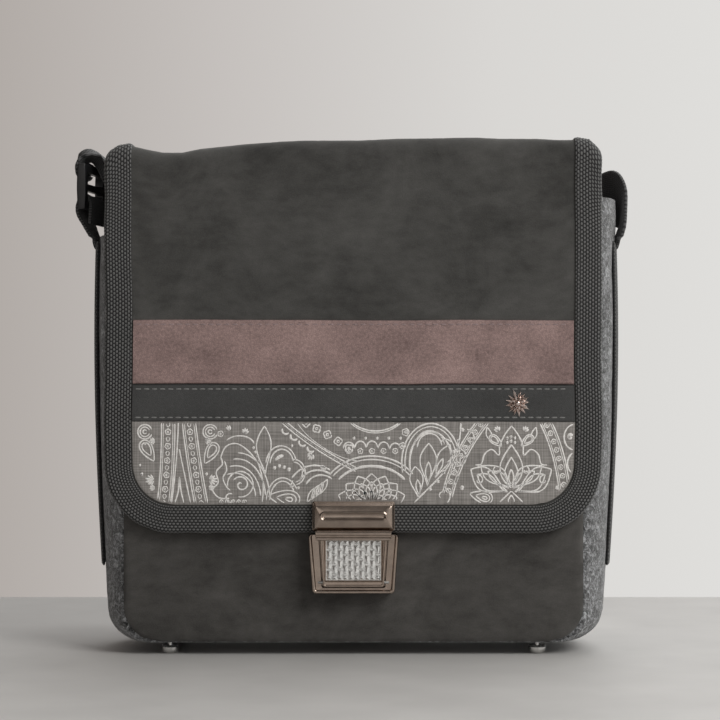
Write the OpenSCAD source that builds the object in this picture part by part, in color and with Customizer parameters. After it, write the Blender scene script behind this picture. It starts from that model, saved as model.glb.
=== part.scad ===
// Small shoulder bag: felt sides and base, suede front and flap, webbing binding,
// a tuck lock with a sprung release button, four nickel feet and a webbing strap.
// Units are millimetres. Z is up, the front faces -Y and X runs to the right
// when the front is looked at. The origin is on the floor under the body's middle.

/* [Body] */
// Width of the side and base strip's seam line
body_w = 232; // [224:2:240]
// Width of the felt side strip, front to back
strip_w = 76; // [72:1:80]
// Height of the seam line at the base
base_z = 6.5; // [6.5:0.5:8]
// Radius of the felt strip's lower corners
corner_r = 14; // [12:1:18]
// Top of the right felt side
side_top = 231; // [229:1:231]
// How much lower the left side is cut, so the strap's buckle swings clear of it
left_drop = 19; // [19:1:21]
// Top of the front and back panels
panel_top = 236; // [230:1:240]
// Felt thickness
felt_t = 3; // [2.5:0.5:3]
// How far the right side swells past its seam
swell_right = 19.5; // [12:0.5:22]
// How far the left side swells past its seam
swell_left = 16.8; // [12:0.5:20]
// How far the base sags below its seam
sag = 2.5; // [1:0.5:3]

/* [Flap] */
// Overall width of the bound flap
flap_w = 249; // [244:1:252]
// Height of the flap's lower edge
flap_low = 62; // [62:0.5:64]
// Outer radius of the flap's lower corners
flap_r = 34; // [28:1:40]
// Height of both fold lines
fold_z = 256.7; // [255:0.1:258]
// Visible width of the webbing binding
bind_w = 13.5; // [10:0.5:15]

/* [Flap trim] */
// Lower edge of the mauve leather strip
mauve_z = 136.5; // [134:0.5:140]
// Height of the mauve leather strip
mauve_h = 32; // [24:1:40]
// Lower edge of the dark smooth strip
dark_z = 117.5; // [116:0.5:118]
// Height of the dark smooth strip
dark_h = 18.7; // [16:0.1:18.8]
// Lower edge of the patterned fabric
fabric_z = 76; // [76:0.5:78]
// Distance of the flower stud from the middle
stud_x = 82; // [60:1:95]
// Diameter of the flower stud
stud_d = 13; // [9:0.5:15]

/* [Lock] */
// Width of the lock case at its top
case_w = 45.4; // [44:0.2:48]
// Lower edge of the lock case
case_low = 32; // [30:0.5:32.5]
// Height of the lock case
case_h = 29.5; // [29:0.5:29.5]

/* [Strap] */
// Webbing width
web_w = 30; // [26:1:30]
// Webbing thickness
web_t = 2; // [1.6:0.2:2]
// Lowest point of the hanging strap's middle line
strap_low = 9; // [6:1:30]

/* [Feet] */
// Foot diameter
foot_d = 9; // [7:0.5:10]
// Distance of each foot from the middle, to the left and right
foot_x = 93; // [80:1:95]

/* [Hidden] */

felt_c = [0.42, 0.42, 0.43];
suede_c = [0.26, 0.255, 0.25];
web_c = [0.2, 0.2, 0.2];
strap_c = [0.1, 0.1, 0.1];
lining_c = [0.34, 0.33, 0.32];
metal_c = [0.48, 0.42, 0.38];

half = strip_w / 2;
foot_y = half * 0.75;
panel_y = half + 2;
flap_y = panel_y + 3.7;
swivel_z = 236;
swivel_r = 30;
lean = 8;
sheet_t = 3;
rivet_z = 70.7;
case_rivet_z = 50;
pin_y = -47.8;
pin_z = case_low + 5.6;

// Joins a list of equal rings into one closed solid.
module skin(rings) {
    n = len(rings[0]);
    m = len(rings);
    walls = [for (i = [0:m - 2]) for (j = [0:n - 1])
        let (a = i * n + j, b = i * n + (j + 1) % n)
        each [[a, b, b + n], [a, b + n, a + n]]];
    ends = [[for (j = [0:n - 1]) n - 1 - j], [for (j = [0:n - 1]) (m - 1) * n + j]];
    polyhedron([for (r = rings) each r], concat(walls, ends), convexity = 8);
}

function unit(v) = v / norm(v);
function clamp01(t) = min(1, max(0, t));

// Point and outward normal on a U: down the right, along the bottom, up the left.
function u_arc(w, r, z, side, t) = [side * (w / 2 - r + r * cos(t)), z + r - r * sin(t),
    side * cos(t), -sin(t)];
function u_side(w, top, z, r, side, n) = [for (i = [0:n - 1])
    [side * w / 2, top + (z + r - top) * i / n, side, 0]];
function u_corner(w, r, z, side, n) = [for (i = [0:n]) u_arc(w, r, z, side, 90 * i / n)];
function u_base(w, r, z, n) = [for (i = [1:n - 1])
    [(w / 2 - r) * (1 - 2 * i / n), z, 0, -1]];
function back(l) = [for (i = [len(l) - 1:-1:0]) l[i]];
function u_path(w, top, z, r, n, c, b, drop = 0) = concat(u_side(w, top, z, r, 1, n),
    u_corner(w, r, z, 1, c), u_base(w, r, z, b), back(u_corner(w, r, z, -1, c)),
    back(u_side(w, top - drop, z, r, -1, n)));
function u_outline(w, top, z, r, c = 8) = [for (p = u_path(w, top, z, r, 1, c, 1))
    [p[0], p[1]]];

// How far the felt stands out of its seam at a height, and across its width.
function swell(z, side) = (side > 0 ? swell_right : swell_left)
    * (0.64 + 0.36 * sin(180 * clamp01((z - 10) / 300)));
function crown(y) = pow(max(0, sin(180 * (y + half) / strip_w)), 0.7);

// One point of the side and base strip, set in from the felt's outer face.
function strip_pt(p, y, in, droop) = let (side = p[0] < 0 ? -1 : 1, f = crown(y),
    c = pow(max(0, abs(p[2])), 0.5))
    [p[0] + side * swell(p[1], side) * f * c - p[2] * in, y,
     p[1] + droop * f * p[3] - p[3] * in];
function strip_ring(p, y0, a, b, n, droop) = concat(
    [for (j = [0:n]) strip_pt(p, -y0 + 2 * y0 * j / n, a, droop)],
    [for (j = [n:-1:0]) strip_pt(p, -y0 + 2 * y0 * j / n, b, droop)]);

module felt_strip(path) {
    skin([for (p = path) strip_ring(p, half, felt_t, 0, 12, sag)]);
}

module plate(outline, y, t) {
    translate([0, y + t, 0])
        rotate([90, 0, 0])
            linear_extrude(t)
                polygon(outline);
}

module rod_y(x, z, y, len, r) {
    translate([x, y, z])
        rotate([-90, 0, 0])
            cylinder(h = len, r = r, $fn = 32);
}

module rod_x(len, y, z, r) {
    translate([-len / 2, y, z])
        rotate([0, 90, 0])
            cylinder(h = len, r = r, $fn = 32);
}

// Smooth route through listed points; each entry is a middle point and a width direction.
function pass(a, b, c, d, t) = 0.5 * ((2 * b) + (c - a) * t
    + (2 * a - 5 * b + 4 * c - d) * t * t + (3 * b - a - 3 * c + d) * t * t * t);
function at(k, i) = k[min(len(k) - 1, max(0, i))];
function route(k, s, which) = [for (i = [0:len(k) - 2]) for (j = [0:s - (i < len(k) - 2 ? 1 : 0)])
    pass(at(k, i - 1)[which], at(k, i)[which], at(k, i + 1)[which], at(k, i + 2)[which], j / s)];

// Flat webbing swept along a route.
module band(keys, steps, w, t) {
    mid = route(keys, steps, 0);
    across = route(keys, steps, 1);
    last = len(mid) - 1;
    skin([for (i = [0:last])
        let (d = unit(mid[min(last, i + 1)] - mid[max(0, i - 1)]),
             v = unit(across[i] - (across[i] * d) * d),
             n = cross(d, v), a = v * w / 2, b = n * t / 2)
        [mid[i] - a - b, mid[i] - a + b, mid[i] + a + b, mid[i] + a - b]]);
}

module front_panel() {
    color(suede_c)
        difference() {
            plate(u_outline(body_w - 1, panel_top, base_z + 0.5, 18), -panel_y, 2);
            for (s = [-1, 1])
                rod_y(s * 19, case_rivet_z, -panel_y - 1, 4, 1.3);
        }
}

module back_panel() {
    color(felt_c)
        plate(u_outline(body_w - 1, panel_top, base_z + 0.5, 18), half, felt_t);
}

module gusset_right() {
    color(felt_c)
        felt_strip(concat(u_side(body_w, side_top, base_z, corner_r, 1, 12),
            u_corner(body_w, corner_r, base_z, 1, 8)));
}

module gusset_left() {
    color(felt_c)
        felt_strip(back(concat(u_side(body_w, side_top - left_drop, base_z, corner_r, -1, 12),
            u_corner(body_w, corner_r, base_z, -1, 8))));
}

module at_feet() {
    for (x = [-foot_x, foot_x])
        for (y = [-foot_y, foot_y])
            translate([x, y, 0])
                children();
}

module base_panel() {
    end = body_w / 2 - corner_r;
    color(felt_c)
        difference() {
            translate([-end, 0, 0])
                rotate([90, 0, 90])
                    linear_extrude(2 * end)
                        polygon([for (p = strip_ring([0, base_z, 0, -1], half, felt_t, 0, 12, sag))
                            [p[1], p[2]]]);
            at_feet()
                cylinder(h = 20, r = 1.3, $fn = 32);
        }
}

module base_board() {
    color([0.3, 0.28, 0.26])
        translate([0, 0, base_z + felt_t + 0.3])
            difference() {
                translate([-98, -33, 0])
                    cube([196, 66, 2.4]);
                at_feet()
                    translate([0, 0, -1])
                        cylinder(h = 5, r = 1.3, $fn = 32);
            }
}

module front_lining() {
    color(lining_c)
        plate(u_outline(body_w - 15, panel_top - 0.5, base_z + 7.6, 9), -half + 2, 0.8);
}

module back_lining() {
    color(lining_c)
        plate(u_outline(body_w - 15, panel_top - 0.5, base_z + 7.6, 9), half - 2.8, 0.8);
}

module gusset_lining() {
    color(lining_c)
        skin([for (p = u_path(body_w - 14.4, side_top - 1, base_z + 7.2, 8, 6, 4, 4, left_drop))
            strip_ring(p, half - 2.8, 0.8, 0, 6, 0.4)]);
}

// Webbing folded over an edge: a channel with legs on both faces.
module channel(t, gap, leg) {
    difference() {
        translate([-gap / 2 - t, -leg])
            square([gap + 2 * t, leg]);
        translate([-gap / 2, -leg - 1])
            square([gap, leg + 1 - t]);
    }
}

module mouth_binding() {
    color(web_c)
        translate([-body_w / 2 + 3.4, -half + 0.4, panel_top + 1.1])
            rotate([90, 0, 90])
                linear_extrude(body_w - 6.8)
                    channel(0.9, 5, 13);
}

module feet() {
    color([0.75, 0.74, 0.72])
        at_feet()
            rotate_extrude($fn = 48)
                polygon(concat([[0, 0]], [for (a = [0:15:90])
                    [foot_d / 2 - 2 + 2 * sin(a), 2 - 2 * cos(a)]],
                    [[foot_d / 2, 3.2], [foot_d / 2 - 0.6, 4.3], [1.2, 4.3],
                    [1.2, base_z + felt_t + 3.7], [0, base_z + felt_t + 3.7]]));
}

module foot_washers() {
    color([0.7, 0.7, 0.68])
        at_feet()
            translate([0, 0, base_z + felt_t + 2.8])
                difference() {
                    cylinder(h = 0.8, r = 4, $fn = 48);
                    translate([0, 0, -1])
                        cylinder(h = 3, r = 1.25, $fn = 32);
                }
}

// Webbing sewn down the middle of a felt side, hollowed at the top for the strap's end.
module side_webbing(side) {
    y0 = web_w / 2;
    rings = [for (i = [0:12]) let (z = 43 + 171 * i / 12) concat(
        [for (j = [0:6]) let (y = -y0 + web_w * j / 6)
            [side * (body_w / 2 + swell(z, side) * crown(y) + 0.3), y, z]],
        [for (j = [6:-1:0]) let (y = -y0 + web_w * j / 6)
            [side * (body_w / 2 + swell(z, side) * crown(y) + 0.3 + web_t), y, z]])];
    difference() {
        skin(side > 0 ? back(rings) : rings);
        rod_x(400, 0, swivel_z, swivel_r + 0.3);
    }
}

module side_webbing_left() {
    color(web_c)
        side_webbing(-1);
}

module side_webbing_right() {
    color(web_c)
        side_webbing(1);
}

module flap_rear_panel() {
    top = fold_z - sheet_t / 2 - 0.3;
    color(suede_c)
        union() {
            translate([-flap_w / 2 + 1.2, flap_y - 1.5, 196])
                cube([flap_w - 2.4, sheet_t, top - 196]);
            translate([-flap_w / 2 + bind_w + 1, half + felt_t, 198])
                cube([flap_w - 2 * bind_w - 2, 1.5, 12]);
        }
}

// A straight length of binding on both side edges, seen from above its outer edge.
module edge_pair(len) {
    for (s = [-1, 1])
        translate([s * flap_w / 2, 0, 0])
            rotate([0, 0, -s * 90])
                linear_extrude(len)
                    channel(0.9, sheet_t + 0.2, bind_w);
}

module flap_rear_binding() {
    color(web_c)
        translate([0, flap_y, 194])
            edge_pair(fold_z - 2.8 - 194);
}

module flap_top_panel() {
    front = -flap_y + 1.8;
    color(suede_c)
        union() {
            translate([-flap_w / 2 + 1.2, front, fold_z - 0.5])
                cube([flap_w - 2.4, flap_y - front, 2]);
            rod_x(flap_w - 2.4, flap_y, fold_z, sheet_t / 2);
        }
}

module flap_top_lining() {
    color(lining_c)
        translate([-flap_w / 2 + 1.2, -flap_y + 1.8, fold_z - 1.5])
            cube([flap_w - 2.4, 2 * flap_y - 3.6, 1]);
}

module flap_top_binding() {
    color(web_c)
        translate([0, flap_y - 2.8, fold_z])
            rotate([90, 0, 0])
                edge_pair(2 * flap_y - 5.6);
}

module flap_holes() {
    rod_y(stud_x, dark_z + dark_h / 2, -60, 30, 1.1);
    for (s = [-1, 1])
        rod_y(s * 13, rivet_z, -60, 30, 1.3);
}

module flap_front_panel() {
    color(suede_c)
        difference() {
            union() {
                plate(u_outline(flap_w - 2.4, fold_z, flap_low + 1.2, flap_r - 1.2),
                    -flap_y - 1.5, 2);
                rod_x(flap_w - 2.4, -flap_y, fold_z, sheet_t / 2);
            }
            flap_holes();
        }
}

module flap_front_lining() {
    color(lining_c)
        difference() {
            plate(u_outline(flap_w - 2.4, fold_z - 1.7, flap_low + 1.2, flap_r - 1.2),
                -flap_y + 0.5, 1);
            flap_holes();
        }
}

module flap_front_binding() {
    g = sheet_t / 2 + 0.1;
    o = g + 0.9;
    edge = [[0, -o], [0, o], [bind_w, o], [bind_w, g], [1, g], [1, -g], [bind_w, -g],
        [bind_w, -o]];
    color(web_c)
        difference() {
            skin(back([for (p = u_path(flap_w, fold_z - 2.8, flap_low, flap_r, 4, 10, 6))
                [for (e = edge) [p[0] - p[2] * e[0], -flap_y + e[1], p[1] - p[3] * e[0]]]]));
            flap_holes();
        }
}

module trim_strip(z, h, t) {
    translate([-flap_w / 2 + bind_w + 0.6, -flap_y - 1.5 - t, z])
        cube([flap_w - 2 * bind_w - 1.2, t, h]);
}

module mauve_strip() {
    color([0.5, 0.4, 0.4])
        trim_strip(mauve_z, mauve_h, 1.2);
}

module dark_strip() {
    color([0.24, 0.24, 0.24])
        difference() {
            trim_strip(dark_z, dark_h, 1.2);
            flap_holes();
        }
}

module fabric_panel() {
    color([0.5, 0.48, 0.46])
        difference() {
            plate(u_outline(flap_w - 2 * bind_w - 1.2, dark_z - 0.2, fabric_z,
                flap_r - bind_w), -flap_y - 2.3, 0.8);
            flap_holes();
        }
}

module star(n, r, s, t) {
    linear_extrude(t)
        polygon([for (i = [0:2 * n - 1]) let (a = 180 * i / n, q = i % 2 == 0 ? r : s)
            [q * cos(a), q * sin(a)]]);
}

module flower_stud() {
    r = stud_d / 2;
    face = -flap_y - 2.75;
    color([0.72, 0.64, 0.6])
        translate([stud_x, face, dark_z + dark_h / 2])
            rotate([90, 0, 0])
                union() {
                    star(9, r, r * 0.42, 0.7);
                    rotate([0, 0, 20])
                        translate([0, 0, 0.6])
                            star(9, r * 0.78, r * 0.36, 0.7);
                    translate([0, 0, 1.2])
                        cylinder(h = 0.7, r1 = r * 0.36, r2 = r * 0.24, $fn = 32);
                    translate([0, 0, -5.6])
                        cylinder(h = 5.8, r = 1, $fn = 32);
                }
}

module stud_cap() {
    color([0.66, 0.62, 0.58])
        difference() {
            rod_y(stud_x, dark_z + dark_h / 2, -flap_y + 1.6, 0.8, 3.6);
            rod_y(stud_x, dark_z + dark_h / 2, -flap_y, 5, 1.05);
        }
}

// Rounded plate facing the front, narrowing downwards.
module facing(top_w, low_w, z, h, y, t, r) {
    translate([0, y + t, z])
        rotate([90, 0, 0])
            linear_extrude(t)
                hull()
                    for (s = [-1, 1]) {
                        translate([s * (top_w / 2 - r), h - r])
                            circle(r = r, $fn = 24);
                        translate([s * (low_w / 2 - r), r])
                            circle(r = r, $fn = 24);
                    }
}

module lock_housing() {
    color(metal_c)
        difference() {
            union() {
                facing(41, 41, 63.5, 14.5, -50.4, 3.9, 1.2);
                translate([0, -50.3, 70.75])
                    rotate([90, 0, 0])
                        linear_extrude(2.2, scale = [0.93, 0.8])
                            square([40, 13.6], center = true);
                hull()
                    for (s = [-1, 1])
                        rod_y(s * 14.2, 71, -53.4, 1.5, 2.3);
                translate([-18, -52.2, 62.2])
                    cube([36, 5.6, 1.4]);
            }
            hull()
                for (s = [-1, 1])
                    rod_y(s * 14.2, 71, -54, 1.3, 1.5);
            for (s = [-1, 1])
                rod_y(s * 13, rivet_z, -48.6, 5, 1.25);
        }
}

module lock_tongue() {
    color(metal_c)
        facing(38, 36, 58.8, 4.6, -53.8, 1.6, 1);
}

// The catch behind the tongue that sits under the button's ledge.
module tongue_hook() {
    color(metal_c)
        facing(15, 15, 58.8, 1.1, -52.2, 0.8, 0.4);
}

module housing_backplate() {
    color([0.6, 0.6, 0.58])
        difference() {
            translate([-17, -41.1, rivet_z - 4])
                cube([34, 0.7, 8]);
            for (s = [-1, 1])
                rod_y(s * 13, rivet_z, -43, 4, 1.25);
        }
}

module housing_rivets() {
    color([0.6, 0.6, 0.58])
        for (s = [-1, 1])
            rod_y(s * 13, rivet_z, -48.5, 8, 1.2);
}

module lock_case() {
    in_top = case_w - 10.6;
    color(metal_c)
        difference() {
            union() {
                facing(case_w, case_w - 4.4, case_low, case_h, -48.6, 48.6 - panel_y, 2.5);
                difference() {
                    facing(case_w - 1.2, case_w - 5.6, case_low + 0.6, case_h - 0.8,
                        -49.6, 1.2, 2);
                    facing(case_w - 4.6, case_w - 9, case_low + 2.3, case_h + 4,
                        -50.6, 3, 1.2);
                }
            }
            facing(in_top, in_top - 3.4, case_low + 3, case_h + 4, -51, 8.8, 1);
            rod_x(36, pin_y, pin_z, 0.85);
            for (s = [-1, 1])
                rod_y(s * 19, case_rivet_z, -panel_y - 4, 5, 1.25);
        }
}

module case_backplate() {
    color([0.6, 0.6, 0.58])
        difference() {
            translate([-22, -half + 0.1, case_rivet_z - 5])
                cube([44, 0.7, 10]);
            for (s = [-1, 1])
                rod_y(s * 19, case_rivet_z, -half - 1, 4, 1.25);
        }
}

module case_rivets() {
    color([0.6, 0.6, 0.58])
        for (s = [-1, 1]) {
            rod_y(s * 19, case_rivet_z, -panel_y - 3.9, 6.7, 1.2);
            rod_y(s * 19, case_rivet_z, -half + 0.8, 0.7, 2.2);
        }
}

module button_pin() {
    color([0.6, 0.6, 0.58])
        rod_x(35.6, pin_y, pin_z, 0.8);
}

module button_spring() {
    color([0.55, 0.55, 0.54])
        translate([-4, 0, 0])
            rotate([90, 0, 90])
                linear_extrude(8)
                    polygon([[-42.25, 43], [-42.25, 47], [-46.1, 57.6], [-46.35, 57.6],
                        [-42.65, 46.6], [-42.65, 43]]);
}

module release_button() {
    top = case_w - 11.8;
    color(metal_c)
        difference() {
            facing(top, top - 3.4, case_low + 3.5, 24.6, -50.9, 4.3, 1);
            facing(28, 28, case_low + 6.6, 20.4, -52, 2.4, 0.6);
            rod_x(50, pin_y, pin_z, 0.87);
        }
}

module button_ledge() {
    color(metal_c)
        facing(16, 16, case_low + 28.1, 1, -51.9, 5.2, 0.4);
}

module reflector() {
    low = case_low + 6.8;
    color([0.8, 0.8, 0.78])
        intersection() {
            union() {
                translate([-13.8, -50.2, low])
                    cube([27.6, 0.5, 20]);
                for (i = [0:9])
                    for (j = [0:3])
                        translate([-12.42 + 2.76 * i, -50.1, low + 5 * j
                            + (i % 2 == 0 ? 0.3 : 0.9)])
                            cylinder(h = 3.8, r1 = 1, r2 = 0.7, $fn = 4);
            }
            translate([-15, -52, 0])
                cube([30, 2.3, 100]);
        }
}

// Right attachment, round the rear corner, down and across behind the body, up to the
// buckle. Each entry is a middle point and a width direction.
edge_r = body_w / 2 + swell(206, 1) + 0.3 + web_t / 2;
edge_l = body_w / 2 + swell(206, -1) + 0.3 + web_t / 2;
hang_y = half + 33;
fall = [
    [[128.5, hang_y - 15, 228], [0.2, 0.1, -0.97]],
    [[116, hang_y - 1, 208], [0.65, 0.3, -0.65]],
    [[103, hang_y + 2, 168], [0.92, 0.35, -0.15]],
    [[92, hang_y, 118], [0.65, 0.76, 0]],
    [[72, hang_y - 1, 62], [0.15, 1, 0]],
    [[38, hang_y - 1, strap_low + 13], [0, 1, 0]]];
mirrored = [for (i = [5:-1:0]) [[-fall[i][0][0], fall[i][0][1], fall[i][0][2]],
    [-fall[i][1][0], fall[i][1][1], fall[i][1][2]]]];
buckle_x = -136.5;
slant = [sin(lean), cos(lean), 0];
strap_route = concat(
    [[[edge_r, 0, 200], [0, 1, 0]],
     [[edge_r + 0.8, 0, 209], [0, 1, 0]],
     [[edge_r + 3, 0.4, 217], [0, 1, -0.04]],
     [[edge_r + 4.6, 5, 227.6], [0, 0.707, -0.707]],
     [[137.6, 17, 233.6], [0.06, 0.05, -1]],
     [[132.5, 36, 233], [0.03, 0, -1]]],
    fall,
    [[[0, hang_y - 1, strap_low], [0, 1, 0]]],
    mirrored,
    [[[-130, 36, 234], [0, -0.05, -1]],
     [[-128.9, 20, 239.4], [0.05, -0.28, -0.95]],
     [[-131.6, 7, 247.2], [0.2, -0.78, -0.58]],
     [[buckle_x, 0, 252], -slant],
     [[buckle_x - 3.6, -0.5, 249.4], -slant],
     [[buckle_x - 3.5, -0.5, 244.4], -slant],
     [[buckle_x - 1, -0.2, 242], -slant]]);
tab_route = [
    [[-edge_l, 0, 200], [0, 1, 0]],
    [[-edge_l - 0.3, 0, 209], [0.02, 1, 0]],
    [[-edge_l - 3.6, 0, 217], [0.08, 1, 0]],
    [[buckle_x - 3.5, 0, 224], slant],
    [[buckle_x - 3.2, 0, 229.6], slant],
    [[buckle_x, 0, 233], slant],
    [[buckle_x + 3.1, 0, 229.6], slant],
    [[buckle_x + 3.1, 0, 223], slant],
    [[buckle_x + 2.9, 0, 218.6], slant]];

// Rounds the strap's lower ends to the swivel line.
module from_swivel() {
    difference() {
        children();
        difference() {
            translate([-200, -40, 150])
                cube([400, 80, 62]);
            rod_x(500, 0, swivel_z, swivel_r);
            translate([-120, -60, 0])
                cube([240, 200, 400]);
        }
    }
}

module shoulder_strap() {
    color(strap_c)
        from_swivel()
            band(strap_route, 5, web_w, web_t);
}

module buckle_tab() {
    color(strap_c)
        from_swivel()
            band(tab_route, 6, web_w, web_t);
}

module strap_buckle() {
    color(strap_c)
        translate([buckle_x, 0, 226])
            rotate([0, 0, -lean])
                difference() {
                    hull()
                        for (u = [-19, 19])
                            for (v = [1, 22])
                                translate([-2, u, v])
                                    rotate([0, 90, 0])
                                        cylinder(h = 4, r = 1.2, $fn = 24);
                    translate([-3, -15.6, 4])
                        cube([6, 31.2, 5.6]);
                    translate([-3, -15.6, 13])
                        cube([6, 31.2, 5.8]);
                }
}

front_panel();
back_panel();
gusset_left();
gusset_right();
base_panel();
base_board();
front_lining();
back_lining();
gusset_lining();
mouth_binding();
feet();
foot_washers();
side_webbing_left();
side_webbing_right();
flap_rear_panel();
flap_rear_binding();
flap_top_panel();
flap_top_lining();
flap_top_binding();
flap_front_panel();
flap_front_lining();
flap_front_binding();
mauve_strip();
dark_strip();
fabric_panel();
flower_stud();
stud_cap();
lock_housing();
lock_tongue();
tongue_hook();
housing_backplate();
housing_rivets();
lock_case();
case_backplate();
case_rivets();
button_pin();
button_spring();
release_button();
button_ledge();
reflector();
shoulder_strap();
buckle_tab();
strap_buckle();
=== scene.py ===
"""Felt and suede shoulder bag: soft goods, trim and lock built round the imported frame."""
import math
import bpy
import bmesh
import numpy as np
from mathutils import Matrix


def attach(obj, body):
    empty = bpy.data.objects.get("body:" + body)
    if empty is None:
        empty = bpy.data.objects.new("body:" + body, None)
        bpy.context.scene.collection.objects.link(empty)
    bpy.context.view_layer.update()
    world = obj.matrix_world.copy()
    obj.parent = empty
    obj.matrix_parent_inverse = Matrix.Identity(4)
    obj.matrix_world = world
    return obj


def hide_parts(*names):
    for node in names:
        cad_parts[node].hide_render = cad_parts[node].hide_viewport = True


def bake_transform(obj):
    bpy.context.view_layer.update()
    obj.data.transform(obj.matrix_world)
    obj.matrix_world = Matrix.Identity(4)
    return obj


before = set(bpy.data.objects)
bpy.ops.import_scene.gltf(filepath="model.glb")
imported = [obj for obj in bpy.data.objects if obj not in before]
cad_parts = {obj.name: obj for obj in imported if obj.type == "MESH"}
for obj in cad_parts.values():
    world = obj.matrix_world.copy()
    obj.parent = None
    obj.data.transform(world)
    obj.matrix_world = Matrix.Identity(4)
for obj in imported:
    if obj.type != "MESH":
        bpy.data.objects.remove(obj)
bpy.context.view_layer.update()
MM = 0.001

# The binding's yarn floats: across and along the tape.
YARN_U, YARN_V = 1.45, 2.0

# ---- mesh helpers


def place(name, me, mat, sharp):
    me.polygons.foreach_set("use_smooth", np.full(len(me.polygons), True))
    if sharp is not None:
        me.set_sharp_from_angle(angle=math.radians(sharp))
    me.materials.append(mat)
    ob = bpy.data.objects.new(name, me)
    bpy.context.collection.objects.link(ob)
    return ob


def make(name, verts, faces, mat, uv=None, sharp=None):
    """A mesh object from points in millimetres."""
    me = bpy.data.meshes.new(name)
    me.from_pydata((np.asarray(verts, float) * MM).tolist(), [], [list(map(int, f)) for f in faces])
    if uv is not None:
        layer = me.uv_layers.new(name="UVMap")
        idx = np.empty(len(me.loops), np.int32)
        me.loops.foreach_get("vertex_index", idx)
        layer.data.foreach_set("uv", np.asarray(uv, np.float32)[idx].ravel())
    bm = bmesh.new()
    bm.from_mesh(me)
    bmesh.ops.recalc_face_normals(bm, faces=bm.faces)
    bm.to_mesh(me)
    bm.free()
    return place(name, me, mat, sharp)


def quads(n, m, wrap=False, start=0):
    i = np.arange(n - 1)[:, None]
    j = np.arange(m if wrap else m - 1)[None, :]
    a = i * m + j
    b = i * m + (j + 1) % m
    return (points(a, b, b + m, a + m).reshape(-1, 4) + start).tolist()


def tube(name, rings, mat, uv, sharp=None):
    """A closed solid swept through rings, an array of stations x points x 3."""
    n, m, _ = rings.shape
    faces = quads(n, m, True) + [list(range(m))[::-1], [(n - 1) * m + k for k in range(m)]]
    return make(name, rings.reshape(-1, 3), faces, mat, uv.reshape(-1, 2), sharp)


def slab(name, top, low, mat, uv):
    """A closed sheet between two grids of the same size."""
    n, m, _ = top.shape
    k = n * m
    faces = quads(n, m) + [f[::-1] for f in quads(n, m, start=k)]
    rim = ([(0, j) for j in range(m)] + [(i, m - 1) for i in range(1, n)]
           + [(n - 1, j) for j in range(m - 2, -1, -1)] + [(i, 0) for i in range(n - 2, 0, -1)])
    rim = [i * m + j for i, j in rim]
    faces += [[a, b, b + k, a + k] for a, b in zip(rim, rim[1:] + rim[:1])]
    pts = np.concatenate([top.reshape(-1, 3), low.reshape(-1, 3)])
    return make(name, pts, faces, mat, np.concatenate([uv.reshape(-1, 2)] * 2), 70)


def solid(name, recipe, mat, bevel=0.0, segments=3, sharp=40):
    """A hard piece from a bmesh recipe, with its edges rounded where bevel is given."""
    bm = bmesh.new()
    recipe(bm)
    bmesh.ops.remove_doubles(bm, verts=bm.verts, dist=1e-4)
    bmesh.ops.recalc_face_normals(bm, faces=bm.faces)
    if bevel:
        edges = [e for e in bm.edges if len(e.link_faces) == 2
                 and e.calc_face_angle(0) > math.radians(28)]
        bmesh.ops.bevel(bm, geom=edges, offset=bevel, segments=segments, profile=0.6,
                        affect="EDGES", clamp_overlap=True)
    bmesh.ops.scale(bm, vec=(MM, MM, MM), verts=bm.verts)
    me = bpy.data.meshes.new(name)
    bm.to_mesh(me)
    bm.free()
    return place(name, me, mat, sharp)


def put(ob, body, slot, *nodes):
    """The piece turns with one body, and takes the place of the frame's nodes."""
    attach(ob, body)
    if nodes:
        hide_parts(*nodes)


def put_bent(ob, joint, slot, *nodes):
    """A piece that lies across a joint is left where it is, with its transform baked in, and takes the
    place of the frame's nodes.
    """
    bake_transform(ob)
    if nodes:
        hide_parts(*nodes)


def round_poly(corners, r):
    """A closed outline with rounded corners."""
    out, seg = [], 5
    n = len(corners)
    for i in range(n):
        p, a, b = (np.array(corners[k % n], float) for k in (i, i - 1, i + 1))
        u, v = (a - p) / np.linalg.norm(a - p), (b - p) / np.linalg.norm(b - p)
        half = math.acos(max(-1, min(1, float(u @ v)))) / 2
        t = r / math.tan(half)
        c = p + (u + v) / np.linalg.norm(u + v) * r / math.sin(half)
        s, e = p + u * t - c, p + v * t - c
        a0 = math.atan2(s[1], s[0])
        d = (math.atan2(e[1], e[0]) - a0 + math.pi) % (2 * math.pi) - math.pi
        out += [tuple(c + r * np.array([math.cos(a0 + d * k / seg), math.sin(a0 + d * k / seg)]))
                for k in range(seg + 1)]
    return out


def points(*parts):
    """Points, or UVs, from an array or a number for each coordinate."""
    return np.stack(np.broadcast_arrays(*parts), -1)


def travel(p):
    """Distance along a row of points, from 0."""
    return np.r_[0, np.cumsum(np.linalg.norm(np.diff(p, axis=0), axis=1))]


def rounded(d, r):
    """0 at an edge and 1 from a distance r in, along a quarter circle."""
    return np.sqrt(np.clip(1 - (1 - np.clip(d / r, 0, 1)) ** 2, 0, 1))


def cubic(a, b, c, d, t):
    """A smooth curve from b to c, shaped by the points either side."""
    return 0.5 * (2 * b + (c - a) * t + (2 * a - 5 * b + 4 * c - d) * t ** 2
                  + (3 * b - a - 3 * c + d) * t ** 3)


def smooth01(t):
    t = np.clip(t, 0, 1)
    return t * t * (3 - 2 * t)


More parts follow.
